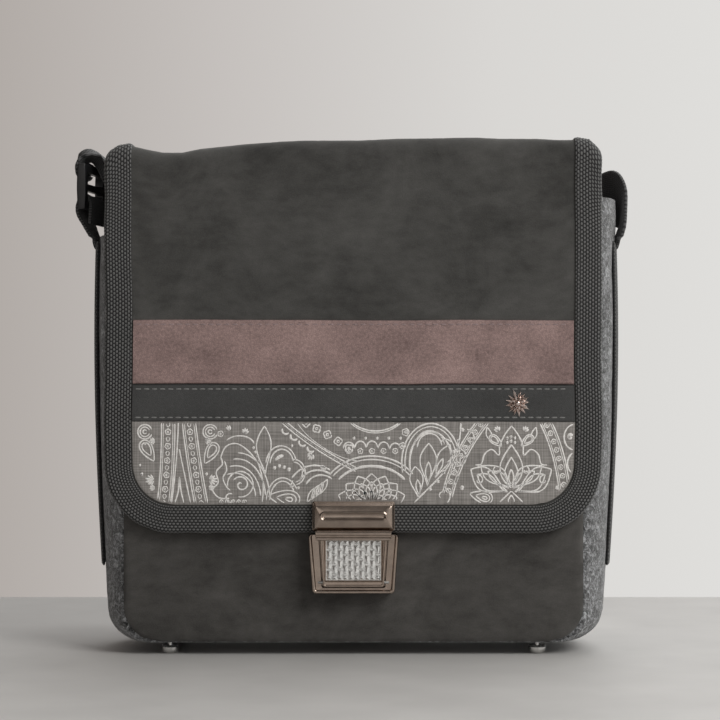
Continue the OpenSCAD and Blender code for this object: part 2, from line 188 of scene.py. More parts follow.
def rough(p, size, seed):
    """Smooth noise from -1 to 1 at points in millimetres, with features of about that size."""
    p = np.asarray(p, float) / size
    i = np.floor(p).astype(np.int64)
    f = smooth01(p - i)
    total = 0
    for c in range(8):
        o = np.array([c & 1, c >> 1 & 1, c >> 2 & 1])
        q = i + o
        h = (q[..., 0] * 374761393 + q[..., 1] * 668265263 + q[..., 2] * 2147483647
             + seed * 974634777) & 0xFFFFFFFF
        h = ((h ^ (h >> 13)) * 1274126177) & 0xFFFFFFFF
        h = (h ^ (h >> 16)) & 0xFFFF
        w = np.prod(np.where(o == 1, f, 1 - f), axis=-1)
        total = total + w * (h / 32767.5 - 1)
    return total


def weave(u, v):
    """Height of the binding's yarn floats, 0 to 1, in rows that step by half a row."""
    i = np.floor(u / YARN_U)
    du = u / YARN_U - i - 0.5
    vv = v / YARN_V + 0.5 * np.mod(i, 2)
    dv = vv - np.floor(vv) - 0.5
    return np.clip(1 - (du / 0.46) ** 2 - (dv / 0.46) ** 2, 0, 1)


# ---- materials


def add(nt, kind, inputs=None, **props):
    n = nt.nodes.new(kind)
    for k, v in props.items():
        setattr(n, k, v)
    for k, v in (inputs or {}).items():
        if isinstance(v, bpy.types.NodeSocket):
            nt.links.new(v, n.inputs[k])
        else:
            n.inputs[k].default_value = v
    return n


def mth(nt, op, a, b=0.0, c=0.0):
    return add(nt, "ShaderNodeMath", {0: a, 1: b, 2: c}, operation=op).outputs[0]


def weigh(nt, *terms):
    """A weighted sum of values."""
    total = 0.0
    for value, weight in terms:
        total = mth(nt, "MULTIPLY_ADD", value, weight, total)
    return total


def coords(nt, uv):
    """Millimetres on the surface: the UV map, or the object's own coordinates."""
    t = add(nt, "ShaderNodeTexCoord")
    s = add(nt, "ShaderNodeVectorMath", {0: t.outputs["UV" if uv else "Object"],
                                         "Scale": 100.0 if uv else 1000.0}, operation="SCALE")
    return s.outputs[0]


def noise(nt, vec, size, detail, rough_, stretch=None, distortion=0.0):
    if stretch is not None:
        vec = add(nt, "ShaderNodeVectorMath", {0: vec, 1: stretch}, operation="MULTIPLY").outputs[0]
    return add(nt, "ShaderNodeTexNoise", {"Vector": vec, "Scale": 1.0 / size, "Detail": detail,
               "Roughness": rough_, "Distortion": distortion}).outputs["Fac"]


def ramp(nt, fac, stops):
    r = add(nt, "ShaderNodeValToRGB", {0: fac})
    e = r.color_ramp.elements
    while len(e) < len(stops):
        e.new(0.5)
    for k, (pos, col) in enumerate(stops):
        e[k].position = pos
        e[k].color = (*col, 1)
    return r.outputs[0]


def grey(v, tint=(1, 1, 1)):
    """A grey, or a darker or lighter step of a tint."""
    return tuple(v * t for t in tint)


def bump(nt, bsdf, height, strength, dist_mm):
    b = add(nt, "ShaderNodeBump", {"Height": height, "Strength": strength,
                                   "Distance": dist_mm * MM})
    nt.links.new(b.outputs[0], bsdf.inputs["Normal"])


def new_mat(name, uv, **sockets):
    """A material, its nodes, its shader and the coordinates its patterns are made in."""
    m = bpy.data.materials.new(name)
    m.use_nodes = True
    b = m.node_tree.nodes["Principled BSDF"]
    for k, v in sockets.items():
        b.inputs[k.replace("_", " ")].default_value = v
    return m, m.node_tree, b, coords(m.node_tree, uv)


def paint(nt, shader, colour):
    nt.links.new(colour, shader.inputs["Base Color"])


def ease_in(nt, value, lo, hi):
    """0 at lo, 1 at hi and smooth between."""
    return add(nt, "ShaderNodeMapRange", {"Value": value, "From Min": lo, "From Max": hi},
               interpolation_type="SMOOTHSTEP").outputs[0]


def mix(nt, fac, a, b):
    return add(nt, "ShaderNodeMix", {0: fac, 6: (*a, 1), 7: (*b, 1)}, data_type="RGBA").outputs[2]


def suede(name, lo, hi):
    m, nt, b, v = new_mat(name, True, Roughness=0.93, Sheen_Weight=0.25, Sheen_Roughness=0.5,
                       Sheen_Tint=(0.75, 0.74, 0.73, 1), Specular_IOR_Level=0.25)
    patch = noise(nt, v, 42, 5, 0.62, distortion=0.6)
    brushed = noise(nt, v, 7, 4, 0.6, stretch=(0.7, 1.3, 1))
    nap = noise(nt, v, 0.7, 3, 0.7)
    f = weigh(nt, (brushed, 0.28), (patch, 0.62), (nap, 0.22))
    paint(nt, b, ramp(nt, f, [(0.38, lo), (0.72, hi)]))
    bump(nt, b, mth(nt, "MULTIPLY_ADD", brushed, 0.5, nap), 0.35, 0.25)
    return m


def felt(name):
    m, nt, b, v = new_mat(name, False, Roughness=1.0, Sheen_Weight=0.35, Sheen_Roughness=0.6,
                       Specular_IOR_Level=0.1)
    fibre_a = noise(nt, v, 1.3, 3, 0.75, stretch=(1, 0.45, 1), distortion=1.8)
    fibre_b = noise(nt, v, 1.1, 3, 0.7, stretch=(0.5, 1, 0.5), distortion=2.2)
    clump = noise(nt, v, 3.0, 3, 0.6, distortion=1.4)
    wide = noise(nt, v, 26, 3, 0.5)
    f = weigh(nt, (fibre_b, 0.22), (fibre_a, 0.30), (clump, 0.58), (wide, 0.10))
    paint(nt, b, ramp(nt, f, [(0.49, grey(0.014)), (0.56, grey(0.075, (0.98, 1, 1.03))),
                              (0.63, grey(0.18, (0.98, 1, 1.03))),
                              (0.73, grey(0.46, (0.98, 1, 1.04)))]))
    bump(nt, b, mth(nt, "ADD", fibre_a, fibre_b), 0.8, 0.5)
    return m


def webbing(name, dark, float_highlight, pu, pv, rough_=0.75):
    """Near-black tape with its raised yarn floats painted lighter, a painted highlight, in the same
    places as the ones raised in the mesh.
    """
    m, nt, b, v = new_mat(name, True, Roughness=rough_, Sheen_Weight=0.15, Specular_IOR_Level=0.35)
    s = add(nt, "ShaderNodeSeparateXYZ", {0: v})
    u, w = s.outputs[0], s.outputs[1]
    cu = mth(nt, "DIVIDE", u, pu)
    i = mth(nt, "FLOOR", cu)
    du = mth(nt, "SUBTRACT", mth(nt, "SUBTRACT", cu, i), 0.5)
    odd = mth(nt, "MULTIPLY", mth(nt, "FLOORED_MODULO", i, 2.0), 0.5)
    dv = mth(nt, "SUBTRACT", mth(nt, "FRACT", mth(nt, "ADD", mth(nt, "DIVIDE", w, pv), odd)), 0.5)
    q = mth(nt, "ADD", mth(nt, "POWER", mth(nt, "DIVIDE", du, 0.4), 2.0),
            mth(nt, "POWER", mth(nt, "DIVIDE", dv, 0.42), 2.0))
    yarn = ease_in(nt, q, 1.15, 0.25)
    fuzz = noise(nt, v, 0.5, 3, 0.7)
    patchy_highlight = noise(nt, v, 14, 3, 0.6)
    # Painted highlight on the raised floats, varied a little by the fuzz and stronger in some patches
    # than in others.
    lit = mth(nt, "MULTIPLY", yarn, mth(nt, "MULTIPLY_ADD", fuzz, 0.5, 0.75))
    lit = mth(nt, "MULTIPLY", lit, mth(nt, "MULTIPLY_ADD", patchy_highlight, 0.7, 0.65))
    paint(nt, b, mix(nt, lit, dark, float_highlight))
    bump(nt, b, mth(nt, "MULTIPLY_ADD", fuzz, 0.3, yarn), 0.5, 0.2)
    return m


def leather(name, lo, hi, grain, rough_):
    m, nt, b, v = new_mat(name, True, Roughness=rough_, Specular_IOR_Level=0.4)
    cells = add(nt, "ShaderNodeTexVoronoi", {"Vector": v, "Scale": 1 / grain, "Randomness": 1.0},
                feature="DISTANCE_TO_EDGE").outputs[0]
    pores = ease_in(nt, cells, 0.0, 0.22)
    tone = noise(nt, v, 30, 4, 0.6)
    fine = noise(nt, v, 1.6, 3, 0.6)
    f = weigh(nt, (fine, 0.4), (tone, 0.6))
    col = ramp(nt, f, [(0.35, lo), (0.68, hi)])
    dark = mix(nt, pores, grey(0.55), grey(1.0))
    paint(nt, b, add(nt, "ShaderNodeMix", {0: 0.5, 6: col, 7: dark}, data_type="RGBA",
                     blend_type="MULTIPLY").outputs[2])
    nt.links.new(mth(nt, "MULTIPLY_ADD", fine, 0.18, rough_ - 0.09), b.inputs["Roughness"])
    bump(nt, b, mth(nt, "MULTIPLY_ADD", fine, 0.4, pores), 0.35, 0.12)
    return m


def linen(name, lo, hi, pitch):
    """Plain weave seen as crossing threads of uneven thickness."""
    m, nt, b, v = new_mat(name, True, Roughness=0.95, Specular_IOR_Level=0.2, Sheen_Weight=0.1)
    s = add(nt, "ShaderNodeSeparateXYZ", {0: v})
    slub_a = noise(nt, v, 1.2, 2, 0.5, stretch=(0.06, 1.4, 1))
    slub_b = noise(nt, v, 1.2, 2, 0.5, stretch=(1.4, 0.06, 1))

    def wave(x):
        return mth(nt, "ABSOLUTE", mth(nt, "SINE", mth(nt, "MULTIPLY", x, math.pi / pitch)))

    cross = mth(nt, "ADD", wave(s.outputs[0]), wave(s.outputs[1]))
    f = weigh(nt, (slub_a, 0.5), (cross, 0.14), (slub_b, 0.5))
    paint(nt, b, ramp(nt, f, [(0.45, lo), (0.85, hi)]))
    bump(nt, b, mth(nt, "MULTIPLY_ADD", cross, 0.5, f), 0.5, 0.15)
    return m


def metal(name, col, rough_, var, line=(1, 1, 1), dark=0.6):
    m, nt, b, v = new_mat(name, False, Metallic=1.0, Roughness=rough_)
    smear = noise(nt, v, 6, 4, 0.6)
    scratch = noise(nt, v, 0.35, 3, 0.6, stretch=line)
    lo = grey(dark, col)
    f = weigh(nt, (smear, 0.7), (scratch, 0.3))
    paint(nt, b, ramp(nt, f, [(0.3, lo), (0.65, col)]))
    nt.links.new(mth(nt, "MULTIPLY_ADD", f, var, rough_ - var / 2), b.inputs["Roughness"])
    bump(nt, b, scratch, 0.12, 0.05)
    return m


def plastic(name, col, rough_):
    m, nt, b, v = new_mat(name, False, Roughness=rough_, Specular_IOR_Level=0.5)
    fine = noise(nt, v, 0.5, 3, 0.6)
    tone = noise(nt, v, 8, 2, 0.5)
    paint(nt, b, ramp(nt, tone, [(0.3, grey(0.8, col)), (0.7, grey(1.25, col))]))
    nt.links.new(mth(nt, "MULTIPLY_ADD", fine, 0.14, rough_ - 0.07), b.inputs["Roughness"])
    bump(nt, b, fine, 0.15, 0.08)
    return m


def thread(name, col):
    m, nt, b, v = new_mat(name, False, Roughness=0.7, Sheen_Weight=0.2)
    twist = noise(nt, v, 0.35, 2, 0.5)
    paint(nt, b, ramp(nt, twist, [(0.3, grey(0.6, col)), (0.7, grey(1.2, col))]))
    bump(nt, b, twist, 0.4, 0.1)
    return m


def clear_plastic(name):
    m, nt, b, v = new_mat(name, False, Roughness=0.14, Metallic=0.75, Coat_Weight=0.6)
    paint(nt, b, ramp(nt, noise(nt, v, 1.1, 3, 0.6),
                      [(0.35, (0.55, 0.55, 0.54)), (0.65, (0.95, 0.945, 0.93))]))
    bump(nt, b, noise(nt, v, 0.6, 2, 0.5), 0.2, 0.08)
    return m


SUEDE = suede("suede", (0.029, 0.0285, 0.027), (0.088, 0.0865, 0.0825))
SUEDE_BODY = suede("suede_body", (0.031, 0.0295, 0.0275), (0.094, 0.090, 0.085))
FELT = felt("felt")
# The binding and the strap are near-black tape; their second colour is the painted highlight on the
# raised yarn floats.
BIND = webbing("binding", (0.010, 0.010, 0.0105), (0.135, 0.135, 0.133), YARN_U, YARN_V)
STRAP = webbing("strap", (0.006, 0.006, 0.0065), (0.10, 0.10, 0.102), 1.0, 1.4, 0.6)
MAUVE = leather("mauve", (0.175, 0.115, 0.108), (0.43, 0.295, 0.275), 0.9, 0.5)
DARK = leather("dark", (0.036, 0.0365, 0.0365), (0.064, 0.0645, 0.064), 0.7, 0.4)
LINEN = linen("linen", (0.15, 0.14, 0.132), (0.36, 0.342, 0.325), 0.8)
PRINT = linen("print", (0.70, 0.68, 0.66), (0.93, 0.91, 0.89), 0.8)
LINING = linen("lining", (0.055, 0.052, 0.05), (0.12, 0.115, 0.11), 0.6)
BRONZE = metal("bronze", (0.43, 0.35, 0.295), 0.22, 0.1, (0.15, 1, 1), 0.7)
ROSE = metal("rose", (0.78, 0.66, 0.61), 0.22, 0.1)
NICKEL = metal("nickel", (0.8, 0.79, 0.77), 0.16, 0.08)
STEEL = metal("steel", (0.5, 0.5, 0.49), 0.4, 0.1)
ACETAL = plastic("acetal", (0.012, 0.012, 0.013), 0.38)
BOARD = plastic("board", (0.11, 0.09, 0.07), 0.8)
CLEAR = clear_plastic("clear")
THREAD = thread("thread", (0.22, 0.22, 0.215))
THREAD_DARK = thread("thread_dark", (0.05, 0.05, 0.05))
THREAD_MAUVE = thread("thread_mauve", (0.30, 0.22, 0.22))

# ---- sizes shared with the frame

# Body: half depth, width, underside, base corner radius, and tops of the sides and panels.
HALF, BODY_W, BASE_Z, CORNER, SIDE_TOP, PANEL_TOP = 38.0, 232.0, 6.5, 14.0, 231.0, 236.0
# The left side is cut this much lower, and each side bellies out by its swell.
LEFT_DROP, SWELL_RIGHT, SWELL_LEFT = 19.0, 19.5, 16.8
# Flap: width, lower edge, corner radius, front face, top face, and the binding's width.
FLAP_W, FLAP_LOW, FLAP_R, FLAP_Y, FOLD_Z, BIND_W = 249.0, 62.0, 34.0, 43.7, 256.7, 13.5
SIDES = ((1, "right"), (-1, "left"))
# Side webbing: half width, foot, and the height and radius of the arc that cuts its top.
WEB_HALF, WEB_FOOT, WEB_TOP, WEB_ARC = 15.0, 43.0, 236.0, 30.4

# Where soft pieces bend: the two bodies and the ends of the bend, in metres. The strap's sewn
# ends stay with the bag, and the rest turns with the strap.
REAR_FOLD = ("bag", "flap_top", (0, 0.0437, 0.2455), (0, 0.0325, 0.2572))
FRONT_FOLD = ("flap_top", "flap_front", (0, -0.0325, 0.2572), (0, -0.0437, 0.2455))
STRAP_ENDS = ("bag", "strap", (0, 0, 0.209), (0, 0, 0.217))


def swell(z, side):
    s = np.where(np.asarray(side) > 0, SWELL_RIGHT, SWELL_LEFT)
    return s * (0.64 + 0.36 * np.sin(np.pi * np.clip((z - 10) / 300, 0, 1)))


def crown(y):
    return np.maximum(0, np.sin(np.pi * (y + HALF) / (2 * HALF))) ** 0.7


def u_path(w, top, z, r, step, turn):
    """Points and outward normals down the right side, along the bottom and up the left."""
    n = int((top - z - r) / step)
    down, fall = ([[w / 2, t + (z + r - t) * i / n, 1, 0] for i in range(n)]
                  for t in (top, top - LEFT_DROP))
    a = np.radians(np.linspace(0, 90, turn + 1))
    right = [[w / 2 - r + r * math.cos(t), z + r - r * math.sin(t), math.cos(t), -math.sin(t)]
             for t in a]
    m = int((w - 2 * r) / step)
    flat = [[(w / 2 - r) * (1 - 2 * i / m), z, 0, -1] for i in range(1, m)]
    mirror = [[-p[0], p[1], -p[2], p[3]] for p in (fall + right)[::-1]]
    return np.array(down + right + flat + mirror)


def inside_u(x, z, w, low, r):
    """How far a point is inside a U-shaped outline (its open top is ignored)."""
    ax = np.abs(x)
    dx = w / 2 - r
    corner = (ax > dx) & (z < low + r)
    return np.where(corner, r - np.hypot(ax - dx, z - low - r), np.minimum(w / 2 - ax, z - low))


# ---- the felt shell
# One wrapped strip makes both sides and the base. It is thick felt that bellies out,
# puckers a little along its seams and dents under its own weight.

path = u_path(BODY_W, SIDE_TOP, BASE_Z, CORNER, *(((3.0, 9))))
yy = HALF * np.sin(np.linspace(-math.pi / 2, math.pi / 2, 35))


def strip_point(p, y, inset, wobble=0.0, loose=1.0, sag=2.5):
    """Points of the strip. Loose, it flares at the right's top and puffs beside the webbing."""
    side = np.where(p[..., 0] < 0, -1, 1)
    f = crown(y)
    c = np.sqrt(np.abs(p[..., 2]))
    flare = 2.4 * loose * smooth01((p[..., 1] - 196) / 30) * (side > 0) * f
    puff = (1.1 * loose * smooth01((np.abs(y) - WEB_HALF - 0.5) / 5)
            * np.sin(np.pi * np.clip((HALF - np.abs(y)) / 23, 0, 1)))
    x = (p[..., 0] + side * (swell(p[..., 1], side) * f * c + flare + puff * c * c)
         - p[..., 2] * (inset - wobble))
    z = p[..., 1] + sag * f * p[..., 3] - p[..., 3] * (inset - wobble)
    return points(x, y, z)


P = np.repeat(path[:, None, :], len(yy), 1)
Y = np.broadcast_to(yy, P.shape[:2])
skin0 = strip_point(P, Y, 0)
near = np.clip(1 - np.abs(np.abs(Y) - HALF) / 9, 0, 1)
RUN = np.broadcast_to(travel(path[:, :2])[:, None], Y.shape)
free = np.sin(np.pi * np.clip((HALF - np.abs(Y)) / 14, 0, 1) / 2)
on_side = np.abs(P[..., 2])
under_web = np.clip((np.abs(Y) - 14) / 5, 0, 1)
wob = ((0.9 * rough(skin0, 34, 3) + 0.35 * rough(skin0, 12, 5)) * free
       * (0.25 + 0.75 * on_side) * (0.25 + 0.75 * under_web))
wob += 0.12 * rough(skin0, 2.2, 9) + 0.09 * rough(skin0, 1.2, 11)
wob -= 0.35 * near * (0.5 + 0.5 * np.cos(RUN * 2 * math.pi / 9)) * on_side
wob = np.where(P[..., 3] < -0.5, np.minimum(wob, 0.1), wob)
FACE_IN, BACK_IN = 0.15, 2.85
put(slab("felt_shell", strip_point(P, Y, FACE_IN, wob), strip_point(P, Y, BACK_IN, wob * 0.5), FELT,
         points(RUN, Y + HALF) / 100), "bag", "felt", "gusset_right", "gusset_left", "base_panel")

# The front and back are flat cut panels, their raw edges proud of the sewn corners.


def panel(name, w, low, r, top, y_out, y_in, mat, pitch, rough_amp, seed, edge):
    """A cut sheet in the XZ plane, its edge following a U, with an uneven outer face."""
    z = top + (low - top) * np.linspace(0, 1, int((top - low) / pitch) + 1)
    dz = np.clip(z - low, 0, r)
    halfw = w / 2 - r + np.sqrt(np.maximum(0, r * r - (r - dz) ** 2))
    X = halfw[:, None] * np.linspace(-1, 1, int(w / pitch) + 1)[None, :]
    Z = np.broadcast_to(z[:, None], X.shape)
    into = np.maximum(0, np.minimum(inside_u(X, Z, w, low, r), top - Z))
    face = points(X, y_out, Z)
    lift = rough_amp * (rough(face, 2.4, seed + 1) + 0.6 * rough(face, 1.3, seed + 2))
    mid = (y_out + y_in) / 2
    shape = rounded(into, edge)
    yo = mid + (y_out - mid) * shape + np.sign(y_out - y_in) * lift
    yi = mid + (y_in - mid) * shape
    uv = points(X + w / 2, Z) / 100
    return slab(name, points(X, yo, Z), points(X, yi, Z), mat, uv)


PITCH = 2.0
for node, mat, slot, y_out, y_in, amp, seed, edge in (
        ("back_panel", FELT, "felt", 40.9, 38.05, 0.12, 21, 1.2),
        ("front_panel", SUEDE_BODY, "suede", -39.9, -38.05, 0.06, 31, 0.8)):
    put(panel(node, BODY_W - 1, BASE_Z + 0.5, 18, PANEL_TOP, y_out, y_in, mat, PITCH, amp, seed,
              edge), "bag", slot, node)

# ---- the flap
# Flat coordinates (x, s, n) are draped over the bag: s runs forward from the middle of
# the top, over the front fold and down the front; negative s goes over the rear fold.

FR = 7.0
TOP_RUN = FLAP_Y - FR
ARC = math.pi / 2 * FR
S_REAR = -(TOP_RUN + ARC + (FOLD_Z - FR - 194.0))
# Height of the flap's wavy top edge above or below level, at these places across it.
LIE_X = [-124.6, -122.5, -118, -112.7, -104, -96, -86, -76.7, -56.7, -36.7, -26.7, 3.2, 23, 43, 53,
         63, 73, 93, 103, 113, 118.5, 121.5, 124.6]
LIE_Z = [-7.6, -5.4, -2.6, -1.7, -3.6, -5.2, -5.2, -3.3, -1.2, 0.3, 0.8, 0.9, 1.8, 2.0, 2.3,
         2.3, 1.8, 1.7, 1.1, 1.3, 0.4, -2.4, -5.2]


def s_of(z):
    """Distance along the flap to a height on its front."""
    return TOP_RUN + ARC + (FOLD_Z - FR - z)


def drape(x, s, n):
    """Flat coordinates to the bag: folds, the wavy top and the front's slight swags."""
    x, s, n = np.broadcast_arrays(np.asarray(x, float), s, n)
    a = np.abs(s)
    t = np.clip((a - TOP_RUN) / FR, 0, math.pi / 2)
    y = np.minimum(a, TOP_RUN) + FR * np.sin(t)
    z = FOLD_Z - FR + FR * np.cos(t) - np.maximum(0, a - TOP_RUN - ARC)
    ny, nz = np.sin(t), np.cos(t)
    sgn = np.where(s > 0, -1.0, 1.0)
    y, ny = y * sgn, ny * sgn
    lie = np.interp(x, LIE_X, LIE_Z)
    w = np.where(s > 0, smooth01(1 - (s - 50) / 42) * (0.75 + 0.25 * smooth01(s / 30)),
                 0.75 * smooth01(1 - (-s - 34) / 30))
    low = smooth01((s - 60) / 30) * smooth01((s_of(166) - s) / 24)
    q = points(x, 5.0, s)
    swag = 1.7 * low * np.cos(np.pi * x / 262) + 0.5 * low * rough(q, 38, 4)
    keep = np.clip(np.hypot(x / 34, (s - s_of(66)) / 34) - 0.6, 0, 1)
    front = smooth01((s - s_of(150)) / 30)
    swag = swag + front * keep * (0.3 + 0.3 * rough(q, 30, 6))
    side = 0.5 * rough(points(np.sign(x) * 40, 1.0, s), 30, 8)
    x = x + side * smooth01((np.abs(x) - 60) / 60) * smooth01((s - 20) / 30)
    n = n + swag
    return points(x, y + ny * n, z + nz * n + lie * w)


def half_width(s, w, low, r):
    dz = np.clip(s - (s_of(low) - r), 0, r)
    return w / 2 - r + np.sqrt(np.maximum(0, r * r - dz * dz))


def flap_sheet(name, s0, s1, n0, n1, w, low, r, mat, pitch, soft, seed, amp, x_edge=1.0):
    """A layer lying on the flap between two offsets from its middle surface."""
    nx = int(w / pitch)
    s = np.linspace(s0, s1, int((s1 - s0) / pitch) + 1)
    hw = half_width(s, w, low, r) if r else np.full_like(s, w / 2)
    k = (0.85 * np.linspace(-1, 1, nx + 1)
         + 0.15 * np.sin(np.linspace(-math.pi / 2, math.pi / 2, nx + 1)))
    X = hw[:, None] * k[None, :]
    S = np.broadcast_to(s[:, None], X.shape)
    into = np.maximum(0, hw[:, None] - np.abs(X))
    if soft:
        into = np.minimum(into, np.minimum(S - s0, s1 - S))
    e = rounded(into, x_edge)
    mid = (n0 + n1) / 2
    q = points(X, 0, S)
    bumpy = amp * (rough(q, 2.6, seed) + 0.7 * rough(q, 1.5, seed + 1))
    top = drape(X, S, mid + (n1 - mid) * e + bumpy * e)
    low_ = drape(X, S, mid + (n0 - mid) * e)
    uv = points(X + 130, S + 110) / 100
    return slab(name, top, low_, mat, uv)


FINE = 1.5
W_SUEDE = FLAP_W - 2.4
SHEET_LOW, SHEET_R = FLAP_LOW + 1.2, FLAP_R - 1.2
for name, n0, n1, mat, slot, size, amp, rear_z, rear_nodes, front_nodes in (
        ("suede", -0.45, 1.45, SUEDE, "suede", FINE, 0.05, 196, ["flap_rear_panel"],
         ["flap_top_panel", "flap_front_panel"]),
        ("lining", -1.45, -0.55, LINING, "lining", FINE * 2, 0.0, 250, ["flap_top_lining"],
         ["flap_front_lining"])):
    ob = flap_sheet("flap_%s_rear" % name, -s_of(rear_z), 0, n0, n1, W_SUEDE, 0, 0, mat, size,
                    False, 41, amp)
    put_bent(ob, REAR_FOLD, slot, *rear_nodes)
    ob = flap_sheet("flap_%s_front" % name, 0, s_of(SHEET_LOW), n0, n1, W_SUEDE, SHEET_LOW, SHEET_R,
                    mat, size, False, 43, amp)
    put_bent(ob, FRONT_FOLD, slot, *front_nodes)

# Binding: woven tape folded round the edge, one run over the whole flap.


def tape_profile(width, thick, gap):
    """Closed profile of (distance in from the edge, offset), the run across it, outer faces."""
    step = 0.36
    o = gap / 2 + thick
    k = int(width / step)
    out = [(width - i * step, o) for i in range(k)]
    out = [(width, gap / 2 + 0.1)] + [(width - 0.15, o - 0.12)] + out[1:]
    bend = [(o * (1 - math.sin(a)) * 0.9, o * math.cos(a)) for a in np.linspace(0, math.pi, 9)]
    out = [p for p in out if p[0] > o * 0.9] + bend
    back = [(i * step * 3, -o) for i in range(1, k) if o * 0.9 < i * step * 3 < width - 0.5]
    out += back + [(width - 0.15, -o + 0.12), (width, -gap / 2 - 0.1)]
    n_out = len(out)
    out += [(width - 2.5, -gap / 2), (thick + 0.3, -gap / 2 + 0.1), (thick, 0),
            (thick + 0.3, gap / 2 - 0.1), (width - 2.5, gap / 2)]
    out = np.array(out)
    return out, travel(out), np.arange(len(out)) < n_out


def bind_run(name, sides):
    """Sweep the tape round stations of flat coordinates (x, s, nx, ns)."""
    prof, across, face = tape_profile(BIND_W, 0.95, 3.1)
    st = np.asarray(sides)
    d, n = prof[None, :, 0], prof[None, :, 1]
    A = np.broadcast_to(across[None, :], (len(st), len(prof)))
    V = np.broadcast_to(travel(st[:, :2])[:, None], A.shape)
    h = weave(A, V) * 0.26 * face[None, :]
    h = h * np.clip((BIND_W - d) / 0.8, 0, 1)
    edge = np.clip(1 - d / 2.4, 0, 1)
    ripple = 0.22 * rough(points(V, 0, 0), 7, 13) * edge
    X = st[:, None, 0] - st[:, None, 2] * (d - ripple - h * edge)
    S = st[:, None, 1] - st[:, None, 3] * (d - ripple - h * edge)
    N = n + np.sign(n) * h * (1 - edge)
    return tube(name, drape(X, S, N), BIND, points(A, V) / 100, sharp=75)


stp = 0.5
c_s = s_of(FLAP_LOW) - FLAP_R
arc_n = int(math.pi / 2 * FLAP_R / stp)
down_n = int(c_s / stp)
right = [(FLAP_W / 2, c_s * i / down_n, 1, 0) for i in range(down_n)]
right += [(FLAP_W / 2 - FLAP_R + FLAP_R * math.cos(a), c_s + FLAP_R * math.sin(a), math.cos(a),
           math.sin(a)) for a in np.linspace(0, math.pi / 2, arc_n + 1)]
wid = FLAP_W / 2 - FLAP_R
across_n = int(2 * wid / stp)
bottom = [(wid - 2 * wid * i / across_n, s_of(FLAP_LOW), 0, 1) for i in range(1, across_n)]
loop = right + bottom + [(-x, s, -nx, ns) for x, s, nx, ns in right[::-1]]
put_bent(bind_run("flap_binding_front", loop), FRONT_FOLD, "binding", "flap_top_binding",
         "flap_front_binding")


def rear_edge(side, n):
    return [(side * FLAP_W / 2, S_REAR * (1 - i / n), side, 0) for i in range(n + 1)]


for sd, tag in SIDES:
    put_bent(bind_run("flap_binding_rear_" + tag, rear_edge(sd, int(-S_REAR / stp))), REAR_FOLD,
             "binding", "flap_rear_binding")

# ---- trim on the flap


def trim_strip(name, z0, z1, n0, n1, mat, amp):
    """A leather strip sewn across the flap, with turned soft edges."""
    pitch = 1.6
    s0, s1 = s_of(z1), s_of(z0)
    w = FLAP_W - 2 * BIND_W - 1.4
    e = np.array([0, 0.25, 0.6, 1.0, 1.6])
    s = np.r_[s0 + e, np.linspace(s0 + 2.4, s1 - 2.4, int((s1 - s0) / pitch)), s1 - e[::-1]]
    x = np.linspace(-w / 2, w / 2, int(w / pitch))
    X, S = np.meshgrid(x, s)
    into = np.minimum(S - s0, s1 - S)
    lift = rounded(into, 1.1)
    q = points(X, 0, S)
    groove = -0.16 * np.exp(-((into - 2.0) / 0.5) ** 2)
    N = (n0 + 0.25 + (n1 - n0 - 0.25) * lift + groove
         + amp * rough(q, 3.1, 17) + 2 * amp * rough(q, 22, 19))
    wav = 0.25 * rough(points(X, 3, 0), 26, 23) * (1 - np.clip(into / 4, 0, 1))
    uv = points(X + 120, S) / 100
    return slab(name, drape(X, S + wav, N), drape(X, S + wav, np.full_like(X, n0)), mat, uv)


put(trim_strip("mauve_strip", 136.5, 168.5, 1.4, 2.6, MAUVE, 0.03), "flap_front", "mauve",
    "mauve_strip")
put(trim_strip("dark_strip", 117.6, 136.2, 1.4, 2.65, DARK, 0.02), "flap_front", "dark",
    "dark_strip")
CLOTH_TOP, CLOTH_LOW = 117.9, 76.2
put(flap_sheet("fabric_panel", s_of(CLOTH_TOP), s_of(CLOTH_LOW), 1.4, 2.25,
               FLAP_W - 2 * BIND_W - 1.3, CLOTH_LOW, FLAP_R - BIND_W, LINEN, 1.2,
               True, 51, 0.03, 0.5), "flap_front", "fabric", "fabric_panel")


def stitches(name, pts, nrm, mat, length=3.1, gap=0.9, rad=0.36):
    """Thread lying in short rounded lengths along a line of points with outward normals."""
    sink, seg = 0.12, 6
    pts, nrm = np.asarray(pts, float), np.asarray(nrm, float)
    dist = travel(pts)
    total = dist[-1]

    def at(rows, t):
        return np.array([np.interp(t, dist, rows[:, k]) for k in range(3)])

    V, F = [], []
    ang = np.linspace(0, 2 * math.pi, seg, endpoint=False)
    prof = [(-0.5, 0.15, -0.75), (-0.46, 0.7, -0.2), (-0.3, 1.0, 0.22), (0, 1.0, 0.3),
            (0.3, 1.0, 0.22), (0.46, 0.7, -0.2), (0.5, 0.15, -0.75)]
    for i in range(int(total / (length + gap))):
        c = (i + 0.5) * (length + gap) + 0.12 * math.sin(i * 12.9898)
        base = len(V)
        for f, r, up in prof:
            t = np.clip(c + f * length, 0, total)
            m = at(nrm, t)
            m /= np.linalg.norm(m)
            d = at(pts, min(t + 0.2, total)) - at(pts, max(t - 0.2, 0))
            d /= np.linalg.norm(d)
            side = np.cross(d, m)
            p = at(pts, t) + m * (up * rad - sink)
            V += [p + (side * math.cos(a) + m * math.sin(a) * 0.8) * rad * r for a in ang]
        rows = len(prof)
        F += quads(rows, seg, True, base)
        F += [[base + k for k in range(seg)][::-1], [base + (rows - 1) * seg + k for k in range(seg)]]
    return make(name, V, F, mat)


def on_flap(x, s, n):
    """Points on the flap at an offset, and their outward directions."""
    p = drape(x, s, n)
    return p, drape(x, s, n + 1.0) - p


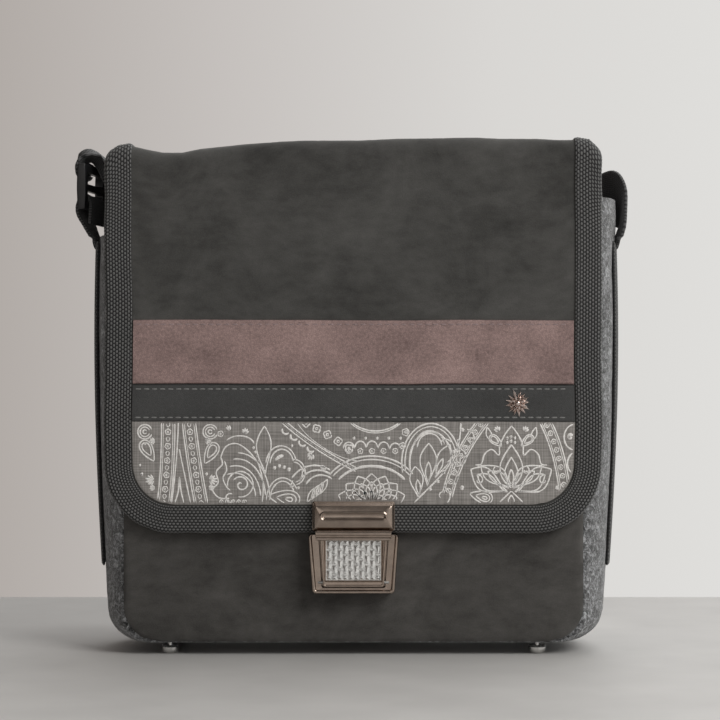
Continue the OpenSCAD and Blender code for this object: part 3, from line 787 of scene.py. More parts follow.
STITCH_X = 109.4
for tag, z, n, mat, slot in (("top", 166.3, 2.5, THREAD_MAUVE, "mauve"),
                             ("dark_top", 134.0, 2.55, THREAD, "dark"),
                             ("dark_low", 119.8, 2.55, THREAD, "dark")):
    x = np.linspace(-STITCH_X, STITCH_X, 110)
    put(stitches("stitch_" + tag, *on_flap(x, np.full_like(x, s_of(z)), n), mat), "flap_front", slot)


def sew_binding(name, stations, joint):
    """A sewing line along the binding's inner edge."""
    x, s, nx, ns = np.asarray(stations).T
    inset = BIND_W - 1.9
    line = stitches(name, *on_flap(x - nx * inset, s - ns * inset, 2.55), THREAD_DARK, 2.9, 0.8, 0.3)
    put_bent(line, joint, "binding")


sew_binding("stitch_binding_front", loop, FRONT_FOLD)
for sd, tag in SIDES:
    sew_binding("stitch_binding_rear_" + tag, rear_edge(sd, 60), REAR_FOLD)

# ---- the printed pattern
# Off-white line work: scrolls, arches, petals and rosette bands, in (x, z) millimetres.

drawn = []


def draw(pts, w=0.5):
    drawn.append((np.asarray(pts, float), w))


def heading(degrees):
    a = math.radians(degrees)
    return np.array([math.cos(a), math.sin(a)])


def arc(x, z, rx, rz, a0, a1, w=0.5, tilt=0.0, n=22):
    a = np.radians(np.linspace(a0, a1, n))
    p = points(rx * np.cos(a), rz * np.sin(a))
    c, s = heading(tilt)
    draw(p @ np.array([[c, s], [-s, c]]) + (x, z), w)


def petal(x, z, ang, length, width, w=0.5, blunt=0.75, curl=0.0):
    t = np.linspace(0, 1, 15)
    d = heading(ang)
    s = np.array([-d[1], d[0]])
    b = width / 2 * np.sin(np.pi * t ** blunt)
    mid = np.outer(t * length, d) + np.outer(curl * t * t * length, s)
    draw(np.concatenate([mid + np.outer(b, s), (mid - np.outer(b, s))[::-1]]) + (x, z), w)


def spiral(x, z, r0, r1, a0, turns, w):
    t = np.linspace(0, 1, 40)
    a, r = math.radians(a0) + 2 * math.pi * turns * t, r0 + (r1 - r0) * t
    draw(points(x + r * np.cos(a), z + r * np.sin(a)), w)


def rosette(x, z, r, n, a0=0.0, w=0.4):
    t = np.linspace(0, 2 * math.pi, 8 * n + 1)
    q = r * (0.72 + 0.28 * np.abs(np.cos(n * (t + a0) / 2)))
    draw(points(x + q * np.cos(t), z + q * np.sin(t)), w)
    arc(x, z, r * 0.3, r * 0.3, 0, 360, w, n=9)


def dot(x, z, r):
    arc(x, z, r / 2, r / 2, 0, 330, r, n=8)


def tuft(x, z, ang, size, n=5):
    for k in range(n):
        d = heading(ang + (k - (n - 1) / 2) * 24)
        ln = size * (1 - 0.12 * abs(k - (n - 1) / 2))
        draw(np.array([x, z]) + np.outer([0.1, 0.55, 1.0], d) * ln, 0.75)


def floral_band(p0, p1, bow, width, step, beads=False):
    """Two double edge lines with rosettes between, along a bowed run."""
    p0, p1 = np.array(p0, float), np.array(p1, float)
    d = (p1 - p0) / np.linalg.norm(p1 - p0)
    s = np.array([-d[1], d[0]])
    t = np.linspace(0, 1, 26)
    mid = p0 + np.outer(t, p1 - p0) + np.outer(4 * bow * t * (1 - t), s)
    for off, w in ((-width / 2, 0.5), (width / 2, 0.5), (-width / 2 + 0.95, 0.3),
                   (width / 2 - 0.95, 0.3)):
        draw(mid + s * off, w)
    n = int(np.linalg.norm(p1 - p0) / step)
    for k in range(n):
        f = (k + 0.5) / n
        c = p0 + (p1 - p0) * f + s * 4 * bow * f * (1 - f)
        if k % 2 or not beads:
            rosette(c[0], c[1], width * 0.23, 5, k)
        else:
            petal(*(c - d * 1.2), math.degrees(math.atan2(d[1], d[0])), 2.6, 1.7, 0.35)


def boteh(x, z, size, ang, flip, rings):
    """A bent drop with smaller drops inside."""
    t = np.linspace(0, 2 * math.pi, 34)
    c, s = heading(ang)
    for k in range(rings):
        f = 1 - 0.38 * k
        px = size * f * (1 - np.cos(t)) * 0.5
        pz = size * f * (0.36 * np.sin(t) * np.sin(t / 2) ** 0.8
                         + flip * 0.30 * (1 - px / (size * f)) ** 2)
        ox = size * 0.26 * k
        draw(points(x + (px + ox) * c - pz * s, z + (px + ox) * s + pz * c))


# Left: two bands that part downwards, with tufts outside.
floral_band((-92.4, 118), (-95, 75), 0.6, 6.6, 3.4, beads=True)
floral_band((-82.2, 118), (-75.8, 75), -0.5, 6.6, 3.4, beads=True)
draw([(-87.4, 117), (-88.4, 100), (-91, 76)])
draw([(-87.0, 104), (-84.6, 92), (-81.2, 76)])
draw([(-89.6, 76), (-87.6, 83), (-87.0, 90), (-86.2, 83), (-84.4, 76)])
for x, side in ((-98.3, 180), (-75.6, 0)):
    tuft(x - (0.6 if side else -1.4), 108, side, 3.2)
    tuft(x - (1.4 if side else -3.4), 88.5, side, 4.6, 6)
    tuft(x - (0.8 if side else -3.0), 84.5, side - (8 if side else -8), 3.2, 4)
for x in (-104.0, -71.6):
    for r in (1.0, 2.4, 3.6):
        arc(x, 112.6, r, r, 20, 340)
    dot(x + 0.2, 106.6, 0.8)
    dot(x - 1.6, 91.5, 0.9)
boteh(-97.6, 100.6, 11, 142, 1, 2)
boteh(-76.4, 99.4, 11, 38, -1, 2)
dot(-106.5, 96, 0.8)

# A curling leaf with nested ribs.
spiral(-56.2, 86.2, 0.6, 4.4, 60, 1.25, 0.55)
arc(-56.6, 86.4, 6.4, 6.4, -100, 190)
for k, (rx, rz, w) in enumerate(((10.5, 12.5, 0.5), (12.4, 16.2, 0.5), (14.2, 19.6, 0.55),
                                 (15.6, 22.6, 0.5))):
    arc(-59.4 + 0.6 * k, 79.5, rx, rz, 4, 112 - 7 * k, w)
draw([(-45.8, 76), (-45.2, 86), (-47.4, 96), (-52, 102.4), (-58, 106.6), (-63.6, 105.4), (-66.4, 100)])
draw([(-66.4, 100), (-65.6, 96.4), (-68.6, 92.6), (-67.6, 87.4), (-70.4, 83.6), (-67.0, 79.6),
      (-62, 79.4)], 0.55)
draw([(-64.4, 98), (-63.4, 93.6), (-65.2, 89.6), (-63.6, 85.4), (-61.6, 83.4)])
arc(-57, 106, 7.4, 4.6, 10, 150)
for k in range(4):
    dot(-49.8 + 0.9 * k, 104.6 - 2.1 * k, 0.9 - 0.08 * k)
tuft(-54.6, 111.4, 70, 3.4, 4)
tuft(-61.6, 113.2, 120, 3.0, 3)
rosette(-66.4, 111.6, 1.5, 5)
arc(-61.6, 79.6, 2.2, 2.2, 60, 300)
for k in range(5):
    rosette(-66 + 2.9 * k, 77.6, 1.1, 4, k)

# Double-lobed arches over a drop.
petal(-44.0, 91.4, 97, 24, 7.4, 0.5, 1.35, -0.1)
for off in (0, 1.7):
    arc(-36.2 + off * 0.2, 96.2, 7.6 - off, 9.4 - off, 12, 176, 0.55)
    arc(-29.8, 92.4, 5.6 - off * 0.8, 6.4 - off * 0.8, -80, 92)
    arc(-35.4, 78, 8.2 - off, 11.6 - off, 30, 178)
draw([(-28.8, 86), (-31.6, 85.2), (-30.2, 88.4)])
draw([(-39.2, 98.4), (-37, 100.2), (-35, 100.8)], 1.1)
for k in range(4):
    dot(-39.2 + 2.4 * k, 94.6 + 0.9 * math.sin(k * 1.4), 1.0)
boteh(-41.6, 76.2, 15, 14, 1, 3)
dot(-27.4, 84.6, 0.9)
dot(-25, 93.2, 0.8)
dot(-30.6, 105.6, 0.8)

# A floral band that crosses to the middle.
floral_band((-36, 118.4), (1.6, 93.6), -1.6, 1.9, 60)
for k in range(5):
    f = (k + 0.6) / 5.4
    rosette(-27 + 29 * f, 118.6 - 17.5 * f + 1.0 * math.sin(3 * f), 2.1, 4, k, 0.5)
draw([(-29, 118), (-22.6, 110.4), (-13.6, 103.8), (-5, 99.6), (3, 97.8)], 0.3)
tuft(-20.4, 101.6, 232, 3.6, 5)
tuft(-14.6, 95.8, 238, 3.0, 5)
for k in range(4):
    arc(-33.8 + 4.2 * k, 113.4 - 3.0 * k, 1.9, 1.9, 150, 320, 0.8)

# Middle: scalloped shallow arcs over a fan of petals.
arc(11, 128, 17, 15, 228, 312, 0.6)
arc(11, 129.6, 18, 17.6, 226, 314, 0.4)
for k in range(5):
    arc(-2.4 + 5.8 * k, 104.2 + 0.6 * math.sin(k), 2.7, 3.2, 0, 180, 0.55)
    rosette(-2.4 + 5.8 * k, 103.0, 1.4, 5, k)
    dot(0.4 + 5.8 * k, 109.4, 0.9)
for r, w in ((0, 0.6), (1.7, 0.5), (5.0, 0.9)):
    arc(9, 80, 25 - r, 20.5 - r, 34, 146, w)
for k in range(-3, 4):
    a = 90 - 24 * k
    for ln, wd in ((15.5, 8.6), (11.5, 5.6), (7.0, 2.8)):
        petal(9 + 0.6 * k, 76.2, a, ln, wd, 0.5, 1.4)
for k in range(3):
    arc(-18 + 1.6 * k, 76, 16 - 2.6 * k, 20 - 2.4 * k, 52, 128, 0.6, 12)
for k in range(4):
    petal(-23.4 + 2.1 * k, 77 + 1.4 * k, 62, 8.6, 2.4, 0.45, 1.2)

# A tall arch of leaf petals with a stem across it.
for r, w in ((0, 0.6), (1.6, 0.45), (4.0, 0.75)):
    arc(38.6, 97.4, 14.6 - r, 19.4 - r, -8, 196, w)
for x, z, a, ln, wd in ((32.4, 79.4, 96, 16, 6.6), (36.8, 85.4, 88, 21.5, 8.2),
                        (40.6, 89.4, 66, 18.5, 6.6)):
    petal(x, z, a, ln, wd, 0.5, 1.4)
    petal(x + 0.3, z + 1.4, a, ln * 0.5, wd * 0.34, 0.5, 1.2)
arc(38.0, 104.4, 6.2, 7.4, 10, 176)
arc(38.0, 104.4, 7.6, 8.9, 12, 172, 0.35)
arc(46.2, 104.6, 3.6, 4.2, 40, 150)
draw([(29, 76), (35.6, 82.6), (42, 89), (47.4, 95.6), (51.4, 103), (53.2, 111), (53.6, 118)], 0.6)
for k in range(7):
    f = k / 6
    tuft(37.4 + 16 * f ** 0.8, 83.4 + 30 * f ** 1.15, 40 - 30 * f, 2.1, 3)
for k in range(4):
    arc(43.6 + 4.0 * k, 80.6 + 9.6 * k, 4.6, 4.6, -70, 78)
dot(27.0, 112.6, 1.1)
rosette(26.0, 112.4, 1.9, 5)
rosette(24.4, 105.6, 1.7, 5)

# Rosette bands either side of a lotus.
LOTUS = 78.8
floral_band((65, 118), (46.8, 81), -2.4, 5.4, 4.3)
floral_band((95.4, 118), (105.6, 84), 1.6, 5.6, 4.3)
for k, (ln, wd) in enumerate(((21.6, 11.4), (14.4, 6.6), (7.6, 2.6))):
    petal(LOTUS, 84.6 + 0.9 * k, 90, ln, wd, 0.55, 0.85)
for sg in (-1, 1):
    for k, (ln, wd) in enumerate(((17.5, 9.4), (12.6, 6.0))):
        petal(LOTUS + sg * (1.2 + 0.4 * k), 84.4 + 0.5 * k, 90 - sg * 38, ln, wd, 0.5, 1.2, -sg * 0.24)
    for k, (ln, wd) in enumerate(((21.5, 11.4), (16.4, 7.4))):
        petal(LOTUS + sg * (1.6 + 1.2 * k), 82.6, 90 - sg * 68, ln, wd, 0.55, 1.45, sg * 0.16)
    spiral(LOTUS + sg * 16.4, 88.4, 0.5, 2.8, 90 - sg * 60, -sg * 0.9, 0.5)
    spiral(LOTUS + sg * 7.2, 93.2, 0.4, 2.2, 90 + sg * 30, sg * 0.9, 0.5)
    draw([(LOTUS + sg * x, z) for x, z in (
        (0, 115.6), (3.4, 111), (5.8, 105.6), (6.2, 101), (9.8, 103.8), (13.4, 101.4), (15, 96.6),
        (18, 96))], 0.55)
    draw([(LOTUS, 83), (LOTUS + sg * 3.4, 79.8), (LOTUS + sg * 7.4, 76)], 0.55)
    boteh(LOTUS + sg * 6.8, 104.4, 7.4, 90 - sg * 26, sg, 2)
    tuft(LOTUS + sg * 6.4, 112.6, 90 - sg * 26, 3.2, 4)
    petal(LOTUS + sg * 10.6, 108.8, 90 - sg * 14, 6.4, 2.6, 0.45)
for k in range(6):
    dot(LOTUS + (k % 3 - 1) * 1.9, 107.8 + (k // 3) * 2.3 - 0.6 * abs(k % 3 - 1), 0.9)
petal(LOTUS, 76.4, 90, 4.6, 3.0)
boteh(58.4, 78.4, 11, 8, 1, 3)
dot(54.4, 84.6, 1.2)
dot(102.2, 84.8, 1.1)
arc(110.4, 110, 5.4, 6.4, 100, 260, 0.6)
arc(111.4, 97, 4.4, 5.6, 110, 250, 0.6)
dot(108.2, 110.4, 1.6)
for k in range(7):
    arc(59.4 - 2.5 * k, 108 - 4.5 * k, 1.6, 1.6, 60, 240, 0.45)


def resample(pts, k):
    """k + 1 points along a drawn line. A short list of points is joined by a smooth curve."""
    last = len(pts) - 1
    if 1 < last < 9:
        t = np.linspace(0, last, k + 1)
        b = np.clip(t.astype(int), 0, last - 1)
        return cubic(pts[np.maximum(b - 1, 0)], pts[b], pts[b + 1], pts[np.minimum(b + 2, last)],
                     (t - b)[:, None])
    dist = travel(pts)
    t = np.linspace(0, dist[-1], k + 1)
    return np.stack([np.interp(t, dist, pts[:, c]) for c in range(2)], -1)


def on_cloth(p):
    """Where points lie on the cloth that shows: inside the binding and clear of the lock."""
    behind_lock = (np.abs(p[:, 0]) < 20.9) & (p[:, 1] < 78.6)
    return (inside_u(p[:, 0], p[:, 1], 220.4, 76.5, 20.3) > 0.55) & (p[:, 1] < 117.1) & ~behind_lock


def ribbons(name, lines, n0, height, mat):
    """Every drawn line as a slim closed strip lying on the cloth."""
    V, UV, F, base = [], [], [], 0
    prof = ((-1, -0.12), (-0.72, height * 0.9), (0.72, height * 0.9), (1, -0.12))
    for pts, w in lines:
        pts = pts[np.r_[True, np.hypot(*np.diff(pts, axis=0).T) > 1e-6]]
        length = travel(pts)[-1]
        if length < 0.3:
            continue
        k = max(3, int(length / 0.55))
        p = resample(pts, k)
        d = np.gradient(p, axis=0)
        d /= np.maximum(np.linalg.norm(d, axis=1), 1e-9)[:, None]
        okay = on_cloth(p)
        starts = np.flatnonzero(okay & ~np.r_[False, okay[:-1]])
        ends = np.flatnonzero(okay & ~np.r_[okay[1:], False])
        for a, b in zip(starts, ends):
            if b - a < 2:
                continue
            x, z = p[a:b + 1].T
            m = np.stack([-d[a:b + 1, 1], d[a:b + 1, 0]])
            rows = len(x)
            taper = np.minimum(np.arange(rows), np.arange(rows)[::-1]) / 1.5
            hw = (w / 2 * (1.6 + 0.4 * rough(points(x, 0, z), 1.3, 61))
                  * np.minimum(1, 0.35 + 0.65 * taper))
            ring = [drape(x + m[0] * hw * c, s_of(z + m[1] * hw * c), n0 + h) for c, h in prof]
            V.append(np.stack(ring, 1).reshape(-1, 3))
            UV.append(np.repeat(points(x + 130, z) / 100, 4, axis=0))
            F.extend(quads(rows, 4, True, base))
            F.append([base + 3, base + 2, base + 1, base])
            F.append([base + (rows - 1) * 4 + c for c in range(4)])
            base += rows * 4
    return make(name, np.concatenate(V), F, mat, np.concatenate(UV))


put(ribbons("fabric_print", drawn, 2.25, 0.13, PRINT), "flap_front", "fabric")

# ---- the lock and the stud


def loft(bm, layers):
    """A solid through outlines of the same number of points, each at its own depth."""
    rows = [[bm.verts.new((x, y, z)) for x, z in o] for o, y in layers]
    bm.faces.new(rows[0])
    bm.faces.new(rows[-1][::-1])
    for a, b in zip(rows, rows[1:]):
        for i in range(len(a)):
            j = (i + 1) % len(a)
            bm.faces.new([a[i], b[i], b[j], a[j]])


def box(bm, x0, x1, y0, y1, z0, z1):
    loft(bm, [([(x0, z0), (x1, z0), (x1, z1), (x0, z1)], y0),
              ([(x0, z0), (x1, z0), (x1, z1), (x0, z1)], y1)])


def plates(bm, *rows):
    """A solid through rounded outlines. Each row has the half widths at top and foot, the
    heights of foot and top, the corner radius and the depth."""
    loft(bm, [(round_poly([(-xl, z0), (xl, z0), (xt, z1), (-xt, z1)], r), y)
              for xt, xl, z0, z1, r, y in rows])


def housing(bm):
    plates(bm, (20.5, 20.5, 63.5, 78, 1.0, -46.4), (20.5, 20.5, 63.5, 78, 1.0, -49.0),
           (20.1, 20.1, 63.9, 77.6, 0.9, -49.4), (19.2, 19.2, 64.9, 76.0, 0.7, -51.7),
           (18.8, 18.8, 65.3, 75.6, 0.6, -51.95), (16.9, 16.9, 68.4, 73.3, 2.4, -52.75),
           (16.75, 16.75, 68.5, 73.2, 2.3, -53.3), (16.3, 16.3, 68.9, 72.8, 1.93, -53.55),
           (15.75, 15.75, 69.4, 72.3, 1.43, -53.3), (15.4, 15.4, 69.7, 72.0, 1.13, -52.0),
           (15.0, 15.0, 70.0, 71.7, 0.83, -51.8))
    box(bm, -18, 18, -52.1, -46.6, 62.3, 63.6)


def case(bm):
    rim = [(22.7 - i, 20.5 - i, 32 + i, 61.5 - k, 1.9 - min(i, 1.2) * 0.8, y) for i, k, y in (
        (0, 0, -40), (0, 0, -48.5), (0.15, 0.03, -49.2), (0.6, 0.08, -49.6), (1.2, 0.12, -49.6),
        (1.65, 0.14, -49.2), (1.9, 0.15, -48.5))]
    plates(bm, *rim, (17.6, 15.9, 34.9, 61.32, 0.9, -48.3), (17.4, 15.7, 35.1, 61.3, 0.8, -47.9),
           (17.4, 15.7, 35.1, 61.3, 0.8, -42.4))


def button(bm):
    plates(bm, (16.8, 15.1, 35.5, 60.1, 1.0, -46.7), (16.8, 15.1, 35.5, 60.1, 1.0, -50.3),
           (16.6, 14.9, 35.7, 60.0, 0.9, -50.75), (16.2, 14.5, 36.1, 59.9, 0.8, -50.9),
           (15.9, 14.3, 36.4, 59.8, 0.7, -50.8), (15.6, 14.2, 36.7, 59.6, 0.7, -50.4),
           (14.9, 14.2, 37.9, 59.3, 0.6, -50.3), (14.2, 14.0, 38.5, 59.0, 0.6, -50.85),
           (14.0, 13.9, 38.7, 58.9, 0.5, -50.8), (13.9, 13.8, 38.8, 58.8, 0.4, -49.7))


def tongue(bm):
    """A bar with a grooved front, (y, z), tapering downwards."""
    top, half = 63.4, 19
    prof = [(-52.2, 58.8), (-53.45, 58.8), (-53.75, 59.1), (-53.8, 59.9), (-53.55, 60.5),
            (-53.15, 60.7), (-53.15, 61.2), (-53.6, 61.5), (-53.7, 62.3), (-53.5, 63.1),
            (-53.2, top), (-52.2, top)]
    a, b = ([bm.verts.new((side * (half - (top - z) * 0.2), y, z)) for y, z in prof]
            for side in (1, -1))
    bm.faces.new(a)
    bm.faces.new(b[::-1])
    for i in range(len(a)):
        j = (i + 1) % len(a)
        bm.faces.new([a[i], b[i], b[j], a[j]])


def prisms(bm):
    """The reflector: a plate with staggered columns of long low pyramids."""
    low, high, face = 39.2, 58.4, -50.05
    w, h, pitch, length = 1.24, 0.9, 5.0, 4.7
    box(bm, -13.7, 13.7, -50.1, -49.72, 38.9, 58.7)
    for c in range(10):
        for r in range(-1, 4):
            x = -12.15 + 2.7 * c
            z0 = low + pitch * r + (pitch / 2 if c % 2 else 0.0)
            z0, z1 = max(z0, low), min(z0 + length, high)
            if z1 - z0 < 1.4:
                continue
            p = [(x - w, face, z0), (x + w, face, z0), (x + w, face, z1), (x - w, face, z1),
                 (x - 0.1, face - h, z0 + 1.0), (x + 0.1, face - h * 0.8, z1 - 0.8)]
            v = [bm.verts.new(k) for k in p]
            for f in ((0, 3, 2, 1), (0, 1, 4), (1, 2, 5, 4), (2, 3, 5), (3, 0, 4, 5)):
                bm.faces.new([v[k] for k in f])


def flower(bm):
    """Three rings of pointed petals round a domed middle, on a pin through the leather."""
    cx, cz, base = 82.0, 126.85, -46.6
    draws = np.random.default_rng(3)
    for n, r0, r1, w, y0, h, turn in ((13, 1.6, 6.5, 0.74, base, 0.75, 0),
                                      (11, 1.3, 5.1, 0.72, base - 0.5, 0.75, 9),
                                      (8, 0.7, 3.4, 0.62, base - 1.0, 0.6, 20)):
        for k in range(n):
            a = 2 * math.pi * k / n + math.radians(turn) + draws.normal() * 0.05
            tip = r1 * (1 + draws.normal() * 0.04)
            d, s = (math.cos(a), math.sin(a)), (-math.sin(a), math.cos(a))
            mid = r0 + (tip - r0) * 0.45
            p = [(r0 * 0.4, 0, -0.3), (mid, -w, 0.05), (tip, 0, 0.25), (mid, w, 0.05), (mid, 0, h),
                 (mid, 0, -0.35)]
            v = [bm.verts.new((cx + d[0] * q + s[0] * t, y0 - u, cz + d[1] * q + s[1] * t))
                 for q, t, u in p]
            for f in ((0, 1, 4), (1, 2, 4), (2, 3, 4), (3, 0, 4), (1, 0, 5), (2, 1, 5), (3, 2, 5),
                      (0, 3, 5)):
                bm.faces.new([v[i] for i in f])
    turns = np.linspace(0, 2 * math.pi, 14, endpoint=False)
    for stack in (((0.9, -47.2), (1.1, -48.0), (0.95, -48.25), (0.5, -48.5)),
                  ((0.9, -41), (0.9, -46.9))):
        loft(bm, [([(cx + r * math.cos(t), cz + r * math.sin(t)) for t in turns], y)
                  for r, y in stack])


for name, recipe, body, sharp in (("lock_housing", housing, "flap_front", 40),
                                  ("lock_tongue", tongue, "flap_front", 50),
                                  ("lock_case", case, "bag", 40),
                                  ("release_button", button, "button", 40)):
    put(solid(name, recipe, BRONZE, sharp=sharp), body, "bronze", name)
put(solid("button_ledge", lambda bm: box(bm, -7.9, 7.9, -51.9, -46.8, 60.12, 61.05), BRONZE, 0.2, 2),
    "button", "bronze", "button_ledge")
put(solid("reflector", prisms, CLEAR, sharp=20), "button", "clear", "reflector")
put(solid("flower_stud", flower, ROSE, sharp=25), "flap_front", "rose", "flower_stud")

# ---- webbing: sides, strap and tab


def web_top(y):
    """The webbing's top is cut on an arc."""
    return WEB_TOP - np.sqrt(WEB_ARC ** 2 - y ** 2)


def web_seat(y, z, side):
    """How far out the felt side carries the webbing."""
    return BODY_W / 2 + swell(z, side) * crown(y) + 0.35


for side, tag in SIDES:
    nv, nu = ((330, 84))
    y = np.linspace(-WEB_HALF, WEB_HALF, nu + 1)
    Z = WEB_FOOT + (web_top(y)[None, :] - WEB_FOOT) * np.linspace(0, 1, nv + 1)[:, None]
    Y = np.broadcast_to(y, Z.shape)
    h = weave(Y + WEB_HALF, Z) * 0.3
    rim, end = rounded(WEB_HALF - np.abs(Y), 0.9), rounded(Z - WEB_FOOT, 1.4)
    base = web_seat(Y, Z, side)
    saw = 0.18 * np.cos(Z * math.pi) * (np.abs(Y) > WEB_HALF - 0.4) * np.sign(Y)
    face = points(side * (base + 0.7 + 0.6 * rim * end + h * rim), Y + saw, Z)
    back = points(side * (base + 0.6 - 0.6 * rim * end), Y, Z)
    name = "side_webbing_" + tag
    put(slab(name, face, back, BIND, points(Y + WEB_HALF, Z) / 100), "bag", "binding", name)
    for edge, y in (("front", -12.6), ("rear", 12.6)):
        z = np.linspace(WEB_FOOT + 2, web_top(y) - 1.5, 90)
        line = points(side * (web_seat(y, z, side) + 1.45), y, z)
        put(stitches("stitch_side_%s_%s" % (tag, edge), line, np.tile([side, 0.0, 0.0], (len(z), 1)),
                     THREAD_DARK, 2.9, 0.9, 0.32), "bag", "binding")


def route(keys, step, which):
    k = np.array([key[which] for key in keys], float)
    out = []
    for i in range(len(k) - 1):
        t = np.linspace(0, 1, step[i] + 1)[:-1 if i < len(k) - 2 else None, None]
        out.append(cubic(k[max(0, i - 1)], k[i], k[i + 1], k[min(len(k) - 1, i + 2)], t))
    return np.concatenate(out)


STRAP_W, STRAP_T, SPACING = 29.6, 1.9, 0.55


def sewn_end(pts):
    """The ends that lie on the side webbing are cut on an arc too."""
    x, y, z = np.moveaxis(pts, -1, 0)
    foot, top = 200, 212
    cut = WEB_TOP - np.sqrt(np.maximum(0, 30.0 ** 2 - y ** 2))
    low = (z < top) & (np.abs(x) > 126) & (np.abs(y) < 20)
    pts[..., 2] = np.where(low, cut + np.clip((z - foot) / (top - foot), 0, 1) * (top - cut), z)


def band(name, keys, split=0):
    """Woven tape swept along a route. A split makes the run before that key a separate piece."""
    pos = np.array([k[0] for k in keys], float)
    steps = [max(3, int(np.linalg.norm(b - a) / SPACING)) for a, b in zip(pos, pos[1:])]
    mid, acr = route(keys, steps, 0), route(keys, steps, 1)
    d = np.gradient(mid, axis=0)
    d /= np.linalg.norm(d, axis=1)[:, None]
    v = acr - (acr * d).sum(1)[:, None] * d
    v /= np.linalg.norm(v, axis=1)[:, None]
    n = np.cross(d, v)
    run_ = travel(mid)
    half, r = STRAP_W / 2 - STRAP_T / 2, STRAP_T / 2
    flat = np.linspace(-1, 1, 21) * half
    # The tape's section: across, up or down, and 1 round its edges.
    r_end = [(half + r * math.cos(t), -math.sin(t), 1)
             for t in np.linspace(-math.pi / 2, math.pi / 2, 7)[1:-1]]
    prof = np.array([(x, 1.0, 0) for x in flat] + r_end + [(x, -1.0, 0) for x in flat[::-1]]
                    + [(-x, -up, e) for x, up, e in r_end])
    px, pz, rim = prof.T[:, None, :]
    rib = 0.14 * np.abs(np.cos(run_ * math.pi / 2.2))[:, None]
    wavy = 0.25 * rough(points(run_, 0, 0), 21, 33)[:, None]
    across = px + np.sign(px) * rim * rib * 1.3
    hgt = pz * (r - 0.1 + rib * 0.8 * (1 - rim)) + wavy * 0.4
    pts = mid[:, None, :] + v[:, None, :] * across[..., None] + n[:, None, :] * hgt[..., None]
    sewn_end(pts)
    uv = points(px + 15, run_[:, None]) / 100
    if not split:
        return tube(name, pts, STRAP, uv)
    c = sum(steps[:split])
    return tube(name + "_root", pts[:c + 1], STRAP, uv[:c + 1]), tube(name, pts[c:], STRAP, uv[c:])


# Routes of the strap and the tab: (point, direction across the tape) at each key.
EDGE_R, EDGE_L = (BODY_W / 2 + float(swell(206, side)) + 1.3 for side in (1, -1))
FALL = [((128.5, 56, 228), (0.2, 0.1, -0.97)), ((116, 70, 208), (0.65, 0.3, -0.65)),
        ((103, 73, 168), (0.92, 0.35, -0.15)), ((92, 71, 118), (0.65, 0.76, 0)),
        ((72, 70, 62), (0.15, 1, 0)), ((38, 70, 22), (0, 1, 0))]
MIRROR = [((-p[0], p[1], p[2]), (-w[0], w[1], w[2])) for p, w in FALL[::-1]]
# The buckle's place and lean. The strap passes round its top rail and the tab round its middle.
BX, LEAN = -136.5, math.radians(8)
SLANT = np.array([math.sin(LEAN), math.cos(LEAN), 0])
strap_keys = ([((EDGE_R, 0, 200), (0, 1, 0)), ((EDGE_R + 0.8, 0, 209), (0, 1, 0)),
               ((EDGE_R + 3, 0.4, 217), (0, 1, -0.04)),
               ((EDGE_R + 4.6, 5, 227.6), (0, 0.707, -0.707)),
               ((137.6, 17, 233.6), (0.06, 0.05, -1)), ((132.5, 36, 233), (0.03, 0, -1))] + FALL
              + [((0, 70, 9), (0, 1, 0))] + MIRROR
              + [((-130, 36, 234), (0, -0.05, -1)), ((-128.9, 20, 239.4), (0.05, -0.28, -0.95)),
                 ((-131.6, 7, 247.2), (0.2, -0.78, -0.58)), ((BX, 0, 252), -SLANT),
                 ((BX - 3.6, -0.5, 249.4), -SLANT), ((BX - 3.5, -0.5, 244.4), -SLANT),
                 ((BX - 1, -0.2, 242), -SLANT)])
tab_keys = [((-EDGE_L, 0, 200), (0, 1, 0)), ((-EDGE_L - 0.3, 0, 209), (0.02, 1, 0)),
            ((-EDGE_L - 3.6, 0, 217), (0.08, 1, 0)), ((BX - 3.5, 0, 224), SLANT),
            ((BX - 3.2, 0, 229.6), SLANT), ((BX, 0, 233), SLANT), ((BX + 3.1, 0, 229.6), SLANT),
            ((BX + 3.1, 0, 223), SLANT), ((BX + 2.9, 0, 218.6), SLANT)]
strap_root, strap_run = band("shoulder_strap", strap_keys, 5)
put_bent(strap_root, STRAP_ENDS, "strap", "shoulder_strap")
put(strap_run, "strap", "strap", "shoulder_strap")
put_bent(band("buckle_tab", tab_keys), STRAP_ENDS, "strap", "buckle_tab")


def buckle(bm):
    """Three rails joined by two thick sides, built as cells with two slots left out."""
    us = [-20.2, -15.6, 15.6, 20.2]
    zs = [225.8, 230.05, 235.55, 239.05, 244.75, 249.2]
    grid = {(i, j, k): bm.verts.new((x, u, z)) for i, u in enumerate(us) for j, z in enumerate(zs)
            for k, x in enumerate((-2.0, 2.0))}

    def filled(i, j):
        return 0 <= i < 3 and 0 <= j < 5 and not (i == 1 and j in (1, 3))

    for i, j in ((i, j) for i in range(3) for j in range(5) if filled(i, j)):
        ring = [(i, j), (i + 1, j), (i + 1, j + 1), (i, j + 1)]
        for k in (0, 1):
            bm.faces.new([grid[(*p, k)] for p in ring])
        beside = [(i, j - 1), (i + 1, j), (i, j + 1), (i - 1, j)]
        for p, q, cell in zip(ring, ring[1:] + ring[:1], beside):
            if not filled(*cell):
                bm.faces.new([grid[(*p, 0)], grid[(*q, 0)], grid[(*q, 1)], grid[(*p, 1)]])


bk = solid("strap_buckle", buckle, ACETAL, 0.85, 4)
co = np.empty(len(bk.data.vertices) * 3)
bk.data.vertices.foreach_get("co", co)
co = co.reshape(-1, 3) / MM
